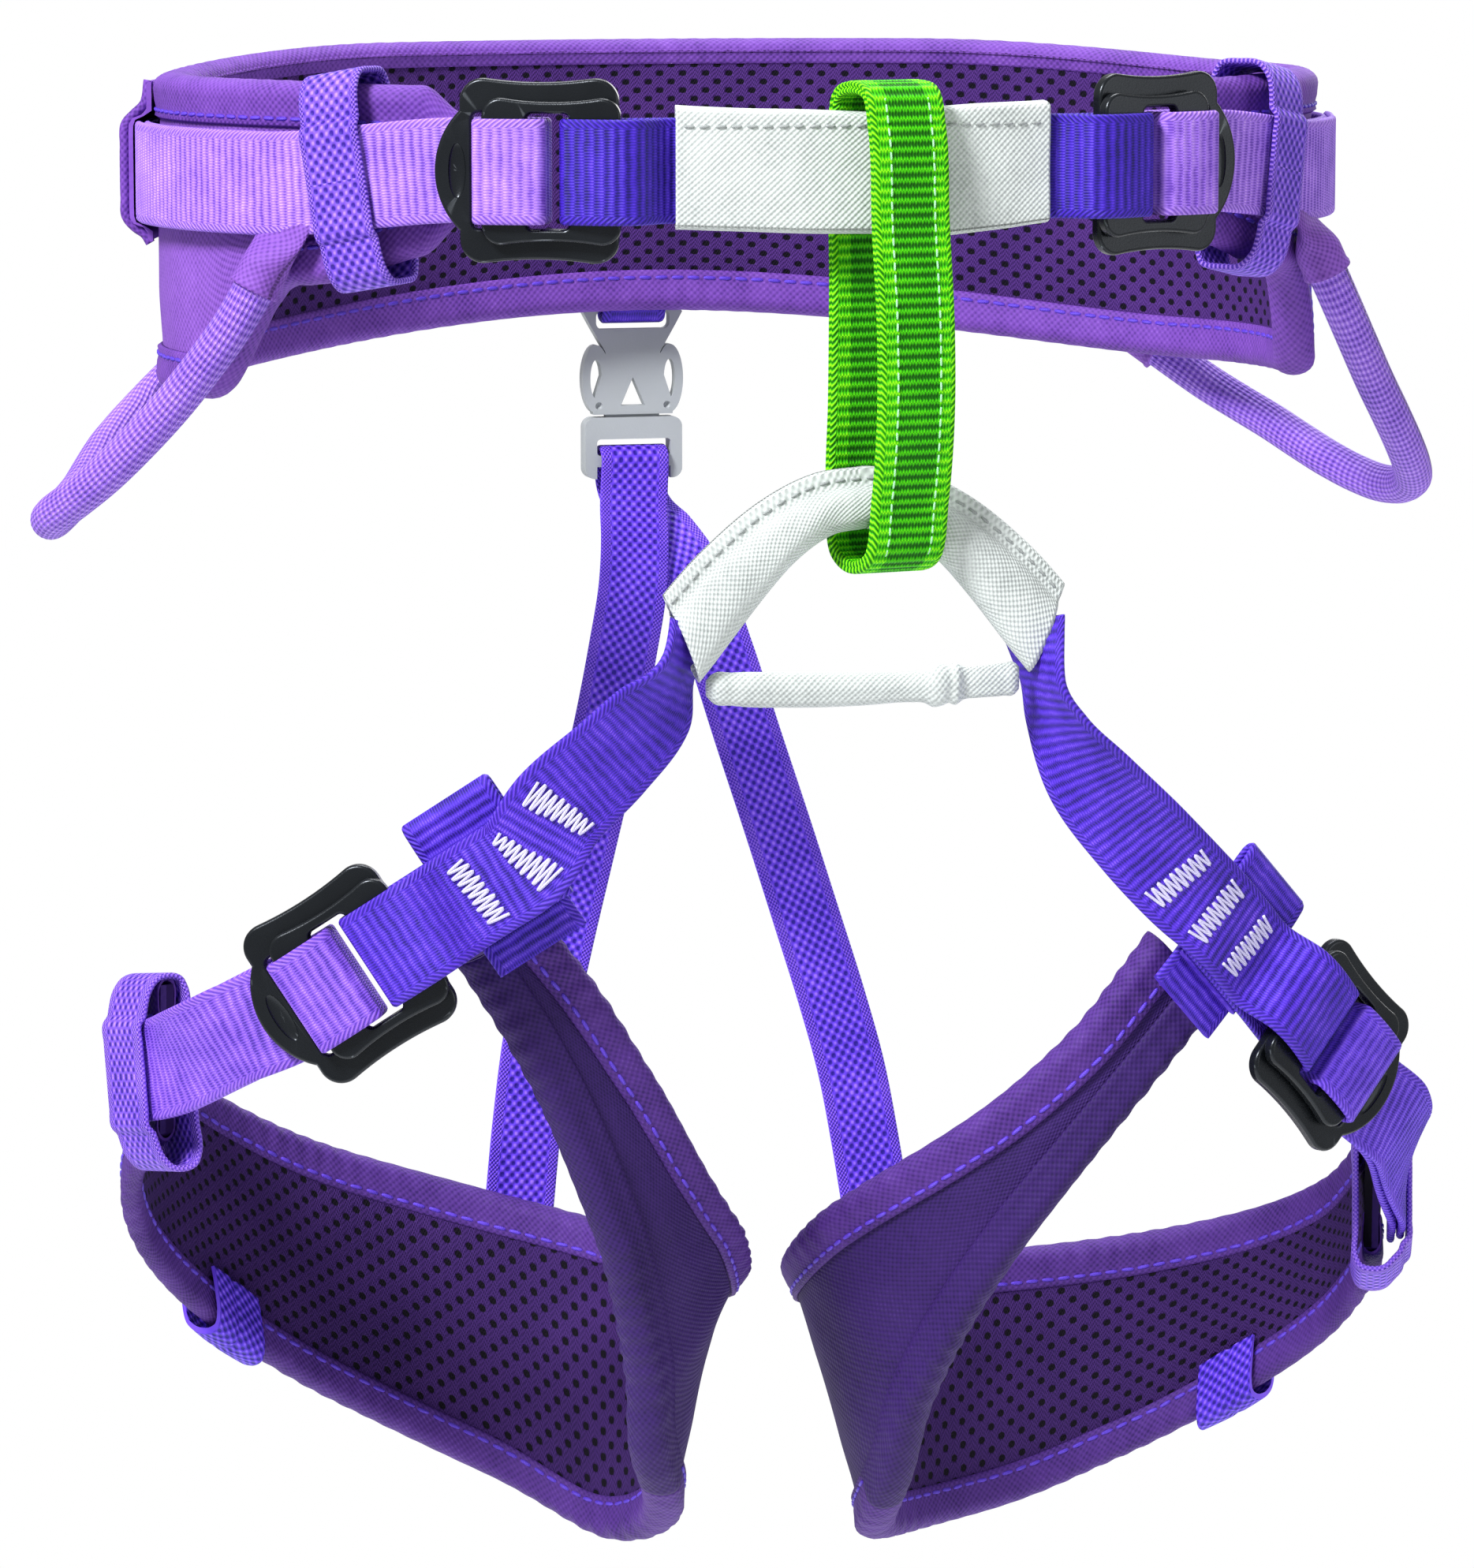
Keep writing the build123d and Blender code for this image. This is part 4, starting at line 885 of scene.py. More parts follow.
def strap_turn():
    """Way of an adjusting strap through its buckle, in the buckle's plane."""
    rise = SLIDER_X[0] - GAP - WEB_T / 2
    fall = SLIDER_WINDOW_LOW + SLIDE + GAP + WEB_T / 2
    r = TURN_RADIUS
    low, high, deep = LOOP_LOW + r, LOOP_HIGH - r, LOOP_LOW - STACK + r
    turns = ((rise - r, low, -90, 0), (rise + r, high, 180, 90),
             (fall - r, high, 90, 0), (fall - r, deep, 0, -90))
    return [point for x, z, start, stop in turns for point in arc_points((x, z), r, start, stop)]


def loop_turn():
    """Turn of the fixed webbing round the buckle's other bar."""
    r = TURN_RADIUS
    x = BASE_WINDOW_HIGH - GAP - WEB_T / 2 + r
    return arc_points((x, LOOP_HIGH - r), r, 90, 180) + arc_points((x, LOOP_LOW + r), r, 180, 270)


# ---- straps -------------------------------------------------------------------------------------

TAIL_END = {LEFT: 101.0, RIGHT: 87.0}
UP = vec(0, 0, 1)


def one_strap(name, body, path, across, material, width=WEBBING, thick=WEB_T, slot="webbing", **extra):
    """Piece of one strap that stands for the CAD node of its name; across is one direction or one a point."""
    piece = Piece(name)
    f = ribbon_frames(path, across if isinstance(across, list) else [across] * len(path))
    strap(piece, f, width, thick, material, **extra)
    piece.build(body, slot, name)
    return f


def waist_straps():
    def half(side):
        plane = waist_buckle_plane(side)
        lift = 1.6 if side == RIGHT else 0.0
        tail = [waist(side * a, TAIL_OUT + lift * blend(a, 80, 87))
                for a in [TAIL_END[side] - (TAIL_END[side] - 42) * i / 12 for i in range(13)]]
        main = [waist(side * (42 + 138 * i / 36), MAIN_OUT) for i in range(37)]
        return tail + [plane.at(p) for p in strap_turn()] + main

    path = half(RIGHT) + half(LEFT)[-2::-1]
    one_strap("waist_webbing", "waist", path, UP, web_waist)

    def end(side):
        plane = waist_buckle_plane(side)
        reach = SLIDER_X[1] + SLIDE + 0.8
        top = [plane.at(p) for p in [(reach, LOOP_HIGH)] + loop_turn() + [(reach, LOOP_LOW)]]
        return top, [waist(side * a, TIE_OUT) for a in (18.4, 15, 11, 7)]

    (left_top, left_bottom), (right_top, right_bottom) = end(LEFT), end(RIGHT)
    middle = [waist(a, TIE_OUT + STACK) for a in (-18.4, -14, -9, -4, 0, 4, 9, 14, 18.4)]
    path = left_bottom[::-1] + left_top[::-1] + middle + right_top + right_bottom
    one_strap("tie_in_webbing", "waist", path, UP, web_tie)


def cover():
    """Fabric tunnel over the webbing at the belt's back, stitched along both edges."""
    angles = np.linspace(96, 264, 330)
    c = np.array([waist(a, 0) for a in angles])
    n = np.array([waist_normal(a) for a in angles])
    low, high, foot = -14.0, 17.6, EDGE_OUT + GAP
    shape = [(low, foot), (low - 0.1, foot + 0.5), (low + 0.5, foot + 0.95), (-12.4, foot + 1.0)]
    shape += [(-11.2, 9.8), (-10.5, 11.7), (-9.3, 12.35)] + [(x, 12.45) for x in np.linspace(-7.5, 7.5, 7)]
    shape += [(9.3, 12.35), (10.5, 11.7), (11.2, 9.8), (12.4, foot + 1.0), (high - 0.5, foot + 0.95)]
    shape += [(high + 0.1, foot + 0.5), (high, foot), (12.0, foot), (10.9, 9.6), (10.2, 11.2), (9.0, 11.6)]
    shape += [(x, 11.65) for x in np.linspace(7.0, -7.0, 5)]
    shape += [(-9.0, 11.6), (-10.2, 11.2), (-10.9, 9.6), (-12.0, foot)]
    a, b = np.array(shape).T
    u = lengths(c)
    soft = 0.16 * np.sin(u / 5.0 + np.sin(u / 13.0))[:, None] * (b > 12)[None]
    rows = c[:, None] + UP[None, None] * a[None, :, None] + n[:, None] * (b[None] + soft)[:, :, None]
    piece = Piece("waist_webbing_cover")
    piece.grid(rows, u, a, shell_waist)
    piece.build("waist", "binding_fabric", "waist_webbing_cover")
    hem = Piece("waist_cover_hems")
    edge = [(low - 0.4, foot + 0.5), (-12.6, foot + 1.6), (-11.4, 11.2), (-9.4, 13.0), (-5.0, 13.3)]
    edge += [(0.0, 13.35), (5.0, 13.3), (9.4, 13.0), (11.4, 11.2), (13.0, foot + 1.6)]
    edge += [(high + 0.4, foot + 0.5)]
    for k in (2, -3):
        tube(hem, [c[k] + UP * q + n[k] * r for q, r in edge], 1.0, tape, sides=12)
    hem.build("waist", "binding_fabric")
    seam = Piece("waist_cover_stitching")
    for z in (-12.9, 13.0):
        stitch_row(seam, c + UP * z + n * (foot + 1.05), n, thread_violet)
    seam.build("waist", "binding_fabric")


def band(name, body, plane, inner, outer, edge, half, grip=10.6, width=ELASTIC):
    """Closed elastic band: flat inside, over the strap outside and pulled in to the pad's edges."""
    r = ELASTIC_T / 2
    low, high = inner - r, outer + r
    side = half + r
    path = [(high, 0), (high, grip * 0.6), (high - 0.15, grip - 0.4), (high - 1.3, grip + 1.0)]
    path += [(edge + 2.4, grip + 2.1)] if side > grip + 5 else []
    path += [(edge + 0.9, side - 2.4), (edge - 1.0, side - 0.5), ((edge + low) / 2, side)]
    path += [(low + 0.9, side - 0.8), (low, side - 2.6), (low, side * 0.5), (low, 0)]
    path += [(x, -y) for x, y in path[-2:0:-1]]
    points = [plane.o + plane.x * x + plane.y * y for x, y in path]
    f = ribbon_frames(points, [plane.z] * len(points), closed=True)
    piece = Piece(name)
    strap(piece, f, width, ELASTIC_T, keeper_elastic, rib=0.0)
    piece.build(body, "elastic", name)


KEEPER_LEAN = 10.0  # the waist keepers' feet sit this many degrees towards the front
KEEPER_ANGLE = 51.5  # where on the belt the keepers are
KEEPER_WIDTH = 13.0


def waist_keepers():
    for side, name in SIDES:
        low, high = waist_edges(KEEPER_ANGLE)
        inner, outer = -BINDING_T - 1.0, TAIL_OUT + WEB_T / 2 + 0.6
        n = waist_normal(side * KEEPER_ANGLE)
        lean = math.radians(-KEEPER_LEAN * side)
        along = np.cross(UP, n) * math.cos(lean) + UP * math.sin(lean)
        plane = Plane(waist(side * KEEPER_ANGLE, 0, (low + high) / 2), n, along)
        half = (high - low) / 2 + BINDING_T + 1.6
        band(f"waist_keeper_{name}", "waist", plane, inner, outer, 8.6, half, width=KEEPER_WIDTH)


STRAP_RADIUS = 62.0  # mean radius of an adjusting strap's way round the thigh


def strap_route(side, out, stop):
    """Way of an adjusting strap from its buckle to the angle stop, out beyond the thigh."""
    (start, z0), (angle, z1) = LEG_BUCKLE[side], LEG_KEEPER[side]
    plane = leg_buckle_plane(side)
    slope = plane.x[2] / math.hypot(plane.x[0], plane.x[1])
    length = STRAP_RADIUS * math.radians(angle - start)
    points = []
    for i in range(11):
        a = start + 19 + (stop - start - 19) * i / 10
        run = (a - start) / (angle - start)
        sag = slope * length * run * (1 - run) ** 2 - LEG_END_SLOPE[side] * length * run * run * (1 - run)
        z = z0 + (z1 - z0) * (3 * run * run - 2 * run**3) - sag
        away = out + 8.6 * (1 - blend(a, start + 12, start + 44))
        points.append(thigh(side, a, z, away))
    return points


TACKS = {LEFT: (43.5, 55.0, 66.0), RIGHT: (62.0, 73.0, 84.0)}  # places along the front straps
KEEPER_HALF = {LEFT: 18.4, RIGHT: 16.4}  # half the height inside each leg keeper


def leg_straps():
    for side, name in SIDES:
        plane = leg_buckle_plane(side)
        up = plane.y if plane.y[2] > 0 else -plane.y

        step = LEG_LOW_OUT + STACK - LEG_BUCKLE_OUT
        path = [vec(side * 33.4, TIE_Y, -87.0)] + [vec(*p) for p, _ in FRONT_STRAP[side]]
        turn = [(40, step), (34, step), (27, step), (SLIDER_X[1] + SLIDE + 1.0, LOOP_HIGH)] + loop_turn()
        turn = [plane.at(p) for p in turn + [(24, LOOP_LOW), (34, LOOP_LOW), (46, LOOP_LOW)]]
        widths = [vec(side * 0.38, -0.25, 0.925)] + [vec(*w) for _, w in FRONT_STRAP[side]] + [up] * len(turn)
        f = one_strap(f"leg_front_strap_{name}", "leg_loops", path + turn, widths, web_deep, gather=0.34)
        tacks = Piece(f"leg_front_tacks_{name}")
        mid = int(np.searchsorted(f["u"], TACKS[side][1]))
        face = 1 if np.dot(f["n"][mid], plane.z) > 0 else -1
        for place in TACKS[side]:
            bar_tack(tacks, f, place, thread_lilac, face=face, width=4.4, strokes=9, lean=0.12, radius=0.34)
        tacks.build("leg_loops", "webbing")

        low = EDGE_OUT + GAP + WEB_T / 2 - LEG_BUCKLE_OUT
        high = EDGE_OUT + GAP + STACK + WEB_T / 2 - LEG_BUCKLE_OUT
        x, middle, r = (34.0 if side == LEFT else 33.0), (low + high) / 2, (high - low) / 2
        local = [(-16.5, low - 0.6), (-10, low), (8, low), (15, low)]
        local += [(15 + 2.4 * math.sin(a), middle - r * math.cos(a)) for a in np.radians((40, 90, 140))]
        local += [(15, high), (8, high), (-10, high)]
        path = [plane.o + plane.x * x + up * v + plane.z * o for v, o in local]
        one_strap(f"leg_cross_loop_{name}", "leg_loops", path, plane.x, web_deep)

        main = strap_route(side, LEG_STRAP_OUT, LEG_KEEPER[side][0] + (9 if side == LEFT else 0))
        tail = strap_route(side, LEG_STRAP_OUT + STACK, LEG_KEEPER[side][0] - 2)
        turn = [plane.at(p) for p in strap_turn()]
        rise = [UP * blend(i, 1, 9) + up * (1 - blend(i, 1, 9)) for i in range(11)]
        # The right strap gets the darker copy of the leg webbing: painted shade.
        one_strap(f"leg_adjusting_strap_{name}", "leg_loops", tail[::-1] + turn + main,
                  rise[::-1] + [up] * len(turn) + rise, web_leg if side == LEFT else web_leg_shaded)

        angle, z = LEG_KEEPER[side]
        inner, outer = -BINDING_T - 0.8, LEG_STRAP_OUT + STACK + WEB_T / 2 + 0.5
        n = thigh_normal(side, angle)
        ring = Plane(thigh(side, angle, z - 0.6, 0), n, np.cross(UP, n) * side - UP * LEG_END_SLOPE[side])
        edge = THIN_END * EDGE_OUT + 1.0
        band(f"leg_keeper_{name}", "leg_loops", ring, inner, outer, edge, KEEPER_HALF[side])

        tail_keeper(side, name)


def tail_keeper(side, name):
    """Small elastic tab folded over the pad's lower edge, curved with the pad."""
    frames = leg_frames(side, 60)[60 * 10 - 40 : 60 * 10 + 41]
    c, up, out, half = (np.array(q) for q in zip(*frames))
    foot = c - up * half[:, None]
    u = lengths(foot)
    u -= u[-1] / 2
    keep = np.abs(u) <= ELASTIC / 2
    c, up, out, half, u = c[keep], up[keep], out[keep], half[keep], u[keep]
    line = [(10.5, -1.9), (9.0, -2.3), (5.0, -2.9), (1.0, -3.2), (-1.8, -2.2), (-3.2, 0.6), (-3.5, 3.3),
            (-3.2, 6.2), (-1.8, 9.0), (1.0, 9.9), (5.0, 9.7), (9.0, 9.2), (10.5, 8.8)]
    fine = smooth_line([(a, b, 0) for a, b in line], 0.7)[:, :2]
    normal = np.gradient(fine, axis=0)
    normal = unit(np.stack([normal[:, 1], -normal[:, 0]], axis=1))
    thick = ELASTIC_T / 2
    loop = np.concatenate([fine + normal * thick, (fine - normal * thick)[::-1]])
    bulge = 0.35 * np.cos(np.clip(u / ELASTIC * 2, -1, 1) * math.pi / 2)
    bulge = bulge - 0.55 * np.exp(-(((u - 0.6) / 0.7) ** 2))
    centre = np.array([3.0, 3.3])
    away = unit(loop - centre)
    a = loop[None, :, 0] + away[None, :, 0] * bulge[:, None]
    b = loop[None, :, 1] + away[None, :, 1] * bulge[:, None]
    rows = c[:, None] + up[:, None] * (a - half[:, None])[:, :, None] + out[:, None] * b[:, :, None]
    step = lengths(fine)
    piece = Piece(f"leg_tail_keeper_{name}")
    piece.grid(rows, u, np.concatenate([step, step[::-1]]), tab_elastic)
    piece.build("leg_loops", "elastic", f"leg_tail_keeper_{name}")


# ---- tie-in points ------------------------------------------------------------------------------


def tie_in_sleeve():
    """Grey protective sleeve over the middle of the upper tie-in webbing."""
    angles = np.linspace(-17.6, 17.6, 150)
    c = np.array([waist(a, TIE_OUT + STACK / 2) for a in angles])
    n = np.array([waist_normal(a) for a in angles])
    u = lengths(c)
    flat = np.linspace(-0.9, 0.9, 21)
    bend = np.radians((72, 50, 25, 0, -25, -50, -72))
    a0 = np.concatenate([flat, 0.9 + 0.1 * np.cos(bend), flat[::-1], -0.9 - 0.1 * np.cos(bend)])
    b0 = np.concatenate([np.ones(21), np.sin(bend), -np.ones(21), -np.sin(bend)])
    pinch = np.exp(-(((u - u[-1] / 2 - 4.5) / 9.0) ** 2))[:, None]
    flare = (np.exp(-(u / 3.0)) + np.exp(-((u[-1] - u) / 3.0)))[:, None]
    fold = (np.sin(u / 3.3 + 0.6) * 0.25 + np.sin(u / 7.1) * 0.25)[:, None]
    place = u / u[-1]
    top = np.interp(place, (0, 0.2, 0.5, 0.8, 1), (12.2, 11.7, 11.2, 12.2, 12.5))
    foot = np.interp(place, (0, 0.1, 0.5, 0.72, 0.9, 1), (10.9, 11.3, 12.5, 12.9, 11.6, 10.7))
    half_h = np.where(a0[None] > 0, top[:, None], foot[:, None]) - 0.3 * pinch + 0.2 * flare + 0.12 * fold
    half_t = 2.75 + 0.15 * flare + 0.15 * fold * (1 - pinch)
    ripple = 0.22 * fold * np.cos(4.5 * a0)[None] * (1 - pinch)
    skin = half_t * b0 + ripple * (b0 > 0)
    outer = c[:, None] + UP * (half_h * a0)[:, :, None] + n[:, None] * skin[:, :, None]
    lining = (half_t - 0.75) * b0
    inner = c[:, None] + UP * ((half_h - 0.9) * a0)[:, :, None] + n[:, None] * lining[:, :, None]
    step = np.concatenate([[0], np.cumsum(np.hypot(np.diff(a0) * 12.4, np.diff(b0) * 2.8))])
    piece = Piece("tie_in_sleeve")
    hollow(piece, outer, inner, u, step, textile)
    piece.build("waist", "sleeve_textile", "tie_in_sleeve")
    seam = Piece("tie_in_sleeve_stitching")
    line = c + UP * 8.4 + n * 2.86
    stitch_row(seam, line, n, thread_grey, pitch=3.0, length=2.0, radius=0.26, start=2.5, stop=2.5)
    seam.build("waist", "sleeve_textile")


BELAY_W, BELAY_T, BELAY_X, BELAY_YAW = 16.0, 2.4, 4.0, 12.0
BELAY_SEAM = 4.6  # the seams' distance from the loop's middle line
BELAY_LOOP = [
    (0, 15.6), (-5.8, 14.4), (-8.2, 8.0), (-9.8, -10.0), (-12.0, -30.0), (-12.0, -48.0), (-10.0, -62.0),
    (-6.6, -73.6), (0, -75.7), (6.6, -73.6), (8.6, -62.0), (7.8, -45.0), (7.4, -22.0), (7.6, 2.0),
    (5.8, 14.2),
]


def belay_loop():
    turn = math.radians(BELAY_YAW)
    depth, across = vec(-math.sin(turn), math.cos(turn), 0), vec(math.cos(turn), math.sin(turn), 0)
    path = [vec(BELAY_X, TIE_Y, z) + depth * d for d, z in BELAY_LOOP]
    f = ribbon_frames(path, [across] * len(path), step=0.4, closed=True)
    piece = Piece("belay_loop")
    strap(piece, f, BELAY_W, BELAY_T, green, pitch=1.9, rib=0.1, layers=2)
    piece.build("belay", "belay_webbing", "belay_loop")

    seam = Piece("belay_loop_stitching")
    away = np.dot(f["c"] - vec(BELAY_X, TIE_Y, 0), depth)
    legs = [np.where(away * sign > 2.0)[0] for sign in (-1, 1)]
    for rows in legs:
        rows = rows[np.argsort(f["c"][rows, 2])]
        for a in (-BELAY_SEAM, BELAY_SEAM):
            middle = f["c"][rows]
            out = unit(np.sign(away[rows])[:, None] * depth)
            line = middle + f["w"][rows] * a + out * (BELAY_T / 2 + 0.08)
            stitch_row(seam, line, out, thread_teal, pitch=2.3, length=1.6, radius=0.2, start=2.0, stop=2.0)
    seam.build("belay", "belay_webbing")
    tacks = Piece("belay_loop_tacks")
    for z, width, strokes in ((-33.5, 4.6, 8), (-41.5, 4.6, 8), (-49.5, 4.6, 8), (-61.0, 0.9, 6)):
        i = legs[0][np.argmin(np.abs(f["c"][legs[0], 2] - z))]
        face = 1 if np.dot(f["n"][i], depth) > 0 else -1
        bar_tack(tacks, f, f["u"][i], thread_dark, length=8.5, width=width, strokes=strokes, face=face,
                 thick=BELAY_T, radius=0.38)
    tacks.build("belay", "belay_webbing")


ARCH = [(0, -62.4), (9, -63.8), (18, -69.0), (27, -77.6), (36.4, -88.6)]
ARCH_LEAN = 0.41


def arch_frames():
    right = spline_points([vec(x, TIE_Y, z) for x, z in ARCH], 16)
    path = [vec(-p[0], p[1], p[2]) for p in right[:0:-1]] + right
    path = np.array(path)
    frames = []
    for i, point in enumerate(path):
        along = unit(path[min(i + 1, len(path) - 1)] - path[max(i - 1, 0)])
        t = i / (len(path) - 1) * 2 - 1
        lean = unit(vec(math.copysign(ARCH_LEAN, t), 0, 1)) * abs(t) ** 3
        up = unit(np.cross(along, vec(0, 1, 0)) * (1 - abs(t) ** 3) + lean)
        frames.append((point, up, abs(t)))
    return frames


def lower_tie_in():
    c, up, t = (np.array(q) for q in zip(*arch_frames()))
    u = lengths(c)
    half_w, half_t = 6.0 + 3.2 * t * t, 4.2 - 0.5 * t * t
    back = vec(0, 1, 0)
    arc = np.radians(np.linspace(72, -252, 40))
    lip = 3.4
    wrinkle = 0.22 * np.sin(u / 2.1 + 1.4 * np.sin(u / 8.0)) + 0.16 * np.sin(u / 5.3)

    def section(shrink):
        rows = []
        for k in range(len(c)):
            w, th = half_w[k] - shrink, half_t[k] - shrink
            cut = half_w[k] - lip
            mid = (cut - w) / 2
            r = (cut + w) / 2
            pts = [(mid + r * math.sin(p), th * math.cos(p) * (1 + 0.02 * math.sin(5 * p + u[k] / 3))
                    + wrinkle[k] * 0.35 * math.cos(p)) for p in arc]
            edge = half_w[k] - shrink
            thin = 1.05 - min(shrink, 0.6)
            lip_left = [(edge - 2.6, -thin * 1.1), (edge - 0.5, -thin), (edge, -thin * 0.5)]
            lip_right = [(edge, thin * 0.5), (edge - 0.5, thin), (edge - 2.6, thin * 1.1)]
            rows.append([c[k] + up[k] * a + back * b for a, b in lip_right + pts + lip_left])
        return np.array(rows)

    outer, inner = section(0.0), section(0.8)
    v = np.linspace(0, 42, outer.shape[1])
    piece = Piece("lower_tie_in_sleeve")
    hollow(piece, outer, inner, u, v, textile)
    piece.build("leg_loops", "sleeve_textile", "lower_tie_in_sleeve")
    seam = Piece("lower_sleeve_stitching")
    for way in (-1, 1):
        line = c + up * (half_w - 2.2)[:, None] + back * way * 1.12
        out = np.tile(back * way, (len(c), 1))
        stitch_row(seam, line, out, thread_grey, pitch=3.1, length=2.0, radius=0.26)
    seam.build("leg_loops", "sleeve_textile")

    keep = slice(8, -8)
    ang = np.radians(np.linspace(0, 360, 24, endpoint=False))
    high = (half_w[keep] - 2.6)[:, None] * np.sin(ang)[None] - 1.6
    deep = (half_t[keep] - 1.6)[:, None] * np.cos(ang)[None]
    rows = c[keep, None] + up[keep, None] * high[:, :, None] + back * deep[:, :, None]
    roll = Piece("lower_tie_in_webbing")
    roll.grid(rows, u[keep], np.linspace(-9, 9, 24), web_deep)
    roll.build("leg_loops", "webbing", "lower_tie_in_webbing")

    stations = [(-31.2, 1.6, 0.6), (-30.2, 2.6, 1.5), (-26, 3.2, 2.1), (-15, 3.4, 2.4), (0, 3.2, 2.3),
                (9.5, 3.0, 2.0), (12.2, 3.3, 2.3), (14.0, 4.2, 2.8), (15.8, 4.0, 2.7), (17.0, 3.6, 2.3),
                (18.4, 4.1, 2.5),
                (19.8, 3.3, 1.3), (23, 3.1, 1.0), (28, 3.15, 0.95), (30.6, 2.9, 0.8), (31.2, 2.2, 0.4)]
    fine = smooth_line([(x, 0, 0, w, th) for x, w, th in stations], 0.4)
    ang = np.radians(np.linspace(0, 360, 28, endpoint=False))
    x, w, th = fine[:, 0], fine[:, 3], fine[:, 4]
    groove = 1 - 0.10 * np.exp(-(((ang - math.radians(200)) / 0.3) ** 2))
    cy, cz = TIE_Y + 1.0, -99.5 + 0.0012 * x * x
    y, z = cy + th[:, None] * (np.cos(ang) * groove)[None], cz[:, None] + w[:, None] * (np.sin(ang) * groove)[None]
    rows = np.stack([np.broadcast_to(x[:, None], y.shape), y, z], axis=-1)
    piece = Piece("tie_in_retainer")
    piece.grid(rows, x + 31.2, ang * 3.2, textile)
    piece.build("leg_loops", "sleeve_textile", "tie_in_retainer")


# ---- rear ---------------------------------------------------------------------------------------

REAR_Y, REAR_T, BAR_Z = WAIST_B + EDGE_OUT + 4.3, 3.0, -71.6
RISER = {
    LEFT: [(-3.2, 78, -97), (-12.0, 65, -126), (-20.5, 55, -150), (-33.0, 43, -189.4), (-38.0, 39.4, -224)],
    RIGHT: [(10.6, 82, -95), (19.6, 67, -130), (29.2, 54, -168), (36.6, 45.5, -199), (41.0, 40.4, -230)],
}


def rear():
    low, high = WAIST_B + EDGE_OUT + GAP + WEB_T / 2, WAIST_B + EDGE_OUT + GAP + STACK + WEB_T / 2
    near, far = REAR_Y - REAR_T / 2 - GAP - WEB_T / 2, REAR_Y + REAR_T / 2 + GAP + WEB_T / 2
    path = [(low, -22), (low, -32), (near, -34.5), (near, -39.0)]
    path += [(REAR_Y + (near - REAR_Y) * math.cos(math.radians(a)), -39.0 - 2.0 * math.sin(math.radians(a)))
             for a in (45, 90, 135)]
    path += [(far, -39.0), (far, -34.5), (high, -29), (high, -22)]
    points = [vec(0, y, z) for y, z in path]
    one_strap("rear_loop", "waist", points, vec(1, 0, 0), web_small, width=NARROW)

    half = (REAR_T + 1.4) / 2
    near, far = REAR_Y - half - GAP - ELASTIC_T / 2, REAR_Y + half + GAP + ELASTIC_T / 2
    over = BAR_Z + 1.2 + GAP + ELASTIC_T / 2
    left = [vec(*p) for p in RISER[LEFT]][::-1]
    right = [vec(*p) for p in RISER[RIGHT]]
    near_leg = spline_points(left + [vec(-0.6, near - 1.2, -81), vec(0, near, BAR_Z - 2)], 2)
    far_leg = spline_points([vec(0, far, BAR_Z - 2), vec(1.6, far - 1.4, -81)] + right, 2)
    fold = [vec(0, near, over - 0.7), vec(0, near + 0.7, over), vec(0, far - 0.7, over)]
    path = near_leg + fold + [vec(0, far, over - 0.7)] + far_leg
    one_strap("riser", "rear_lower", path, vec(1, 0, 0), elastic, ELASTIC, ELASTIC_T, "elastic", rib=0.0)


# ---- gear loops ---------------------------------------------------------------------------------

GEAR_LOOP = [
    (107.6, -46.0, -20.0), (113.5, -44.0, -31.0), (124, -35, -47), (135, -23, -61), (142.5, -8, -70),
    (140.5, 5, -72), (133.5, 17, -68), (125.5, 32, -61.0), (115.5, 44.5, -53.5), (103.6, 52.6, -44.0),
]


def gear_loops():
    for side, name in SIDES:
        path = spline_points([vec(side * x, y, z) for x, y, z in GEAR_LOOP], 2)
        piece = Piece(f"gear_loop_sleeve_{name}")
        tube(piece, path, 4.0, braid, sides=24, step=0.8)
        piece.build(f"gear_{name}", "gear_sleeve", f"gear_loop_sleeve_{name}", f"gear_loop_core_{name}")

        gear_tab(f"gear_loop_tab_front_{name}", path[0], unit(path[0] - path[1]), 12.0, 2.4)
        gear_tab(f"gear_loop_tab_rear_{name}", path[-1], unit(path[-1] - path[-2]), 9.0, 0.5)


def gear_tab(name, root, back, run, flare):
    """Cloth tab that holds the loop's end: round over the cord, pressed flat where it is sewn to the belt."""
    wide = unit(np.cross(back, vec(root[0], root[1], 0)))
    deep = np.cross(wide, back)
    turn = np.linspace(0, TAU, 33)[:-1]
    rows, reach = [], np.linspace(-4.5, run, 26)
    for x in reach:
        press = blend(x, 0.0, 8.0)
        hem = 0.25 if x < -3.6 else 0.0
        a, b = 4.75 + flare * press + hem, 4.75 - 3.3 * press + hem
        rows.append(root + back * x + np.cos(turn)[:, None] * wide * a + np.sin(turn)[:, None] * deep * b)
    piece = Piece(name)
    piece.grid(rows, reach, turn * 5.0, shell_waist)
    tab = piece.build(None, "shell_fabric")
    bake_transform(tab)


# ---- finishes on the hard parts -----------------------------------------------------------------


def hard_parts():
    for name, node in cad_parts.items():
        if "buckle" in name:
            node.data.materials.clear()
            node.data.materials.append(plastic if name.startswith("rear_buckle") else metal)


# ---- stage, light and camera --------------------------------------------------------------------

FLOOR_Z, FLOOR_RADIUS = -0.62, 1.15  # metres
FADE_START, FADE_END = 0.35, 0.97  # where the floor fades out, in floor radii


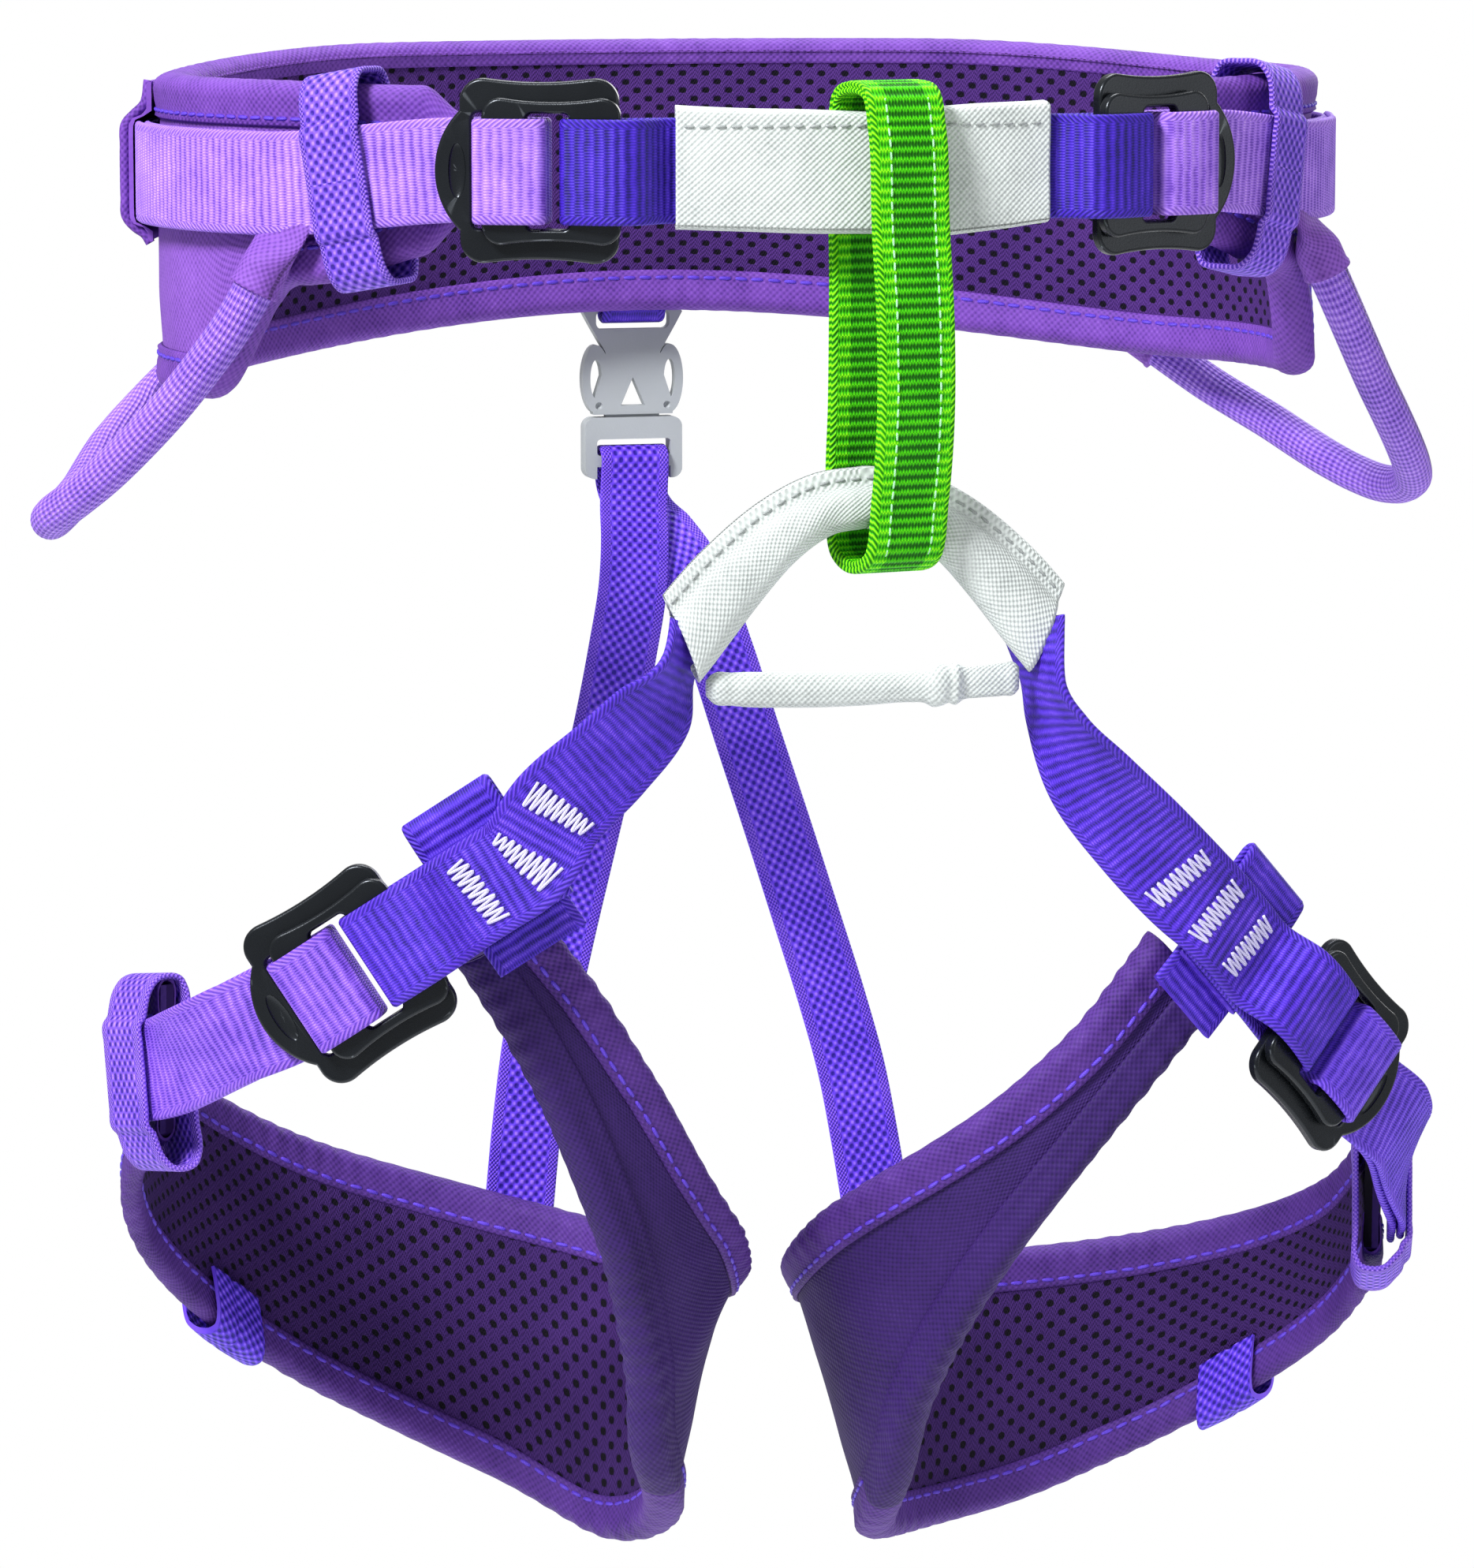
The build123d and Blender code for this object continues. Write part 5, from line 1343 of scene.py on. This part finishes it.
def stage():
    """Round pale floor that fades out into the white surroundings."""
    g = Nodes("studio_floor")
    surface = g.finish(g.mix(g.noise(400.0), (0.86, 0.86, 0.865, 1), (0.90, 0.90, 0.90, 1)), None, 0.9)
    place, white, both = (g.new("ShaderNode" + kind) for kind in ("NewGeometry", "Emission", "MixShader"))
    flat = g.new("ShaderNodeVectorMath", operation="MULTIPLY")
    flat.inputs[1].default_value = (1, 1, 0)
    reach = g.new("ShaderNodeVectorMath", operation="LENGTH")
    g.put(place.outputs["Position"], flat.inputs[0])
    g.put(flat.outputs[0], reach.inputs[0])
    fade = g.steps(reach.outputs["Value"], FADE_START * FLOOR_RADIUS, FADE_END * FLOOR_RADIUS)
    for value, socket in zip((fade, g.shader.outputs[0], white.outputs[0]), both.inputs):
        g.put(value, socket)
    end = next(n for n in g.tree.nodes if n.type == "OUTPUT_MATERIAL")
    g.put(both.outputs[0], end.inputs["Surface"])
    turn = np.linspace(0, TAU, 97)[:-1]
    mesh = bpy.data.meshes.new("floor")
    points = [(FLOOR_RADIUS * math.cos(t), FLOOR_RADIUS * math.sin(t), FLOOR_Z) for t in turn]
    mesh.from_pydata(points, [], [tuple(range(len(points)))])
    mesh.materials.append(surface)
    new_object("floor", mesh)


def area_light(name, place, target, size, power, colour=(1, 1, 1)):
    light = bpy.data.lights.new(name, "AREA")
    light.shape, light.size, light.energy, light.color = "DISK", size, power, colour
    obj = new_object(name, light)
    obj.location = place
    obj.rotation_euler = (Vector(target) - Vector(place)).to_track_quat("-Z", "Y").to_euler()


def lights():
    middle = (0, 0, -0.12)
    area_light("key", (-1.6, -1.2, 1.6), middle, 0.7, 112)
    area_light("fill", (1.7, -1.4, 0.2), middle, 1.4, 9)
    area_light("top", (0.3, 0.9, 1.9), middle, 1.2, 40)
    area_light("back", (1.2, 1.5, 0.5), middle, 1.2, 10)
    world = bpy.data.worlds.new("studio")
    bpy.context.scene.world = world
    world.use_nodes = True
    nodes, links = world.node_tree.nodes, world.node_tree.links
    seen, lit = nodes.new("ShaderNodeLightPath"), nodes["Background"]
    lit.inputs[0].default_value = (1, 1, 1, 1)
    level = nodes.new("ShaderNodeMapRange")
    level.inputs["To Min"].default_value, level.inputs["To Max"].default_value = 0.50, 1.0
    links.new(seen.outputs["Is Camera Ray"], level.inputs["Value"])
    links.new(level.outputs["Result"], lit.inputs[1])
    bpy.context.scene.view_settings.view_transform = "Standard"


CAMERA_AZIMUTH, CAMERA_ELEVATION, CAMERA_FAR = -15.0, 8.0, 1.390
CAMERA_TARGET = (-0.000849, 0.000228, -0.13019)
LENS = 155.4


def camera():
    a, e = math.radians(CAMERA_AZIMUTH), math.radians(CAMERA_ELEVATION)
    back = Vector((math.sin(a) * math.cos(e), -math.cos(a) * math.cos(e), math.sin(e)))
    data = bpy.data.cameras.new("camera")
    data.lens, data.sensor_width = LENS, 36.0
    data.clip_start, data.clip_end = 0.05, 50.0
    obj = new_object("camera", data)
    obj.location = Vector(CAMERA_TARGET) + back * CAMERA_FAR
    obj.rotation_euler = (-back).to_track_quat("-Z", "Y").to_euler()
    bpy.context.scene.camera = obj


camera()
stage()
lights()
waist_pad()
waist_straps()
cover()
waist_keepers()
tie_in_sleeve()
belay_loop()
lower_tie_in()
leg_pads()
leg_straps()
rear()
gear_loops()
hard_parts()
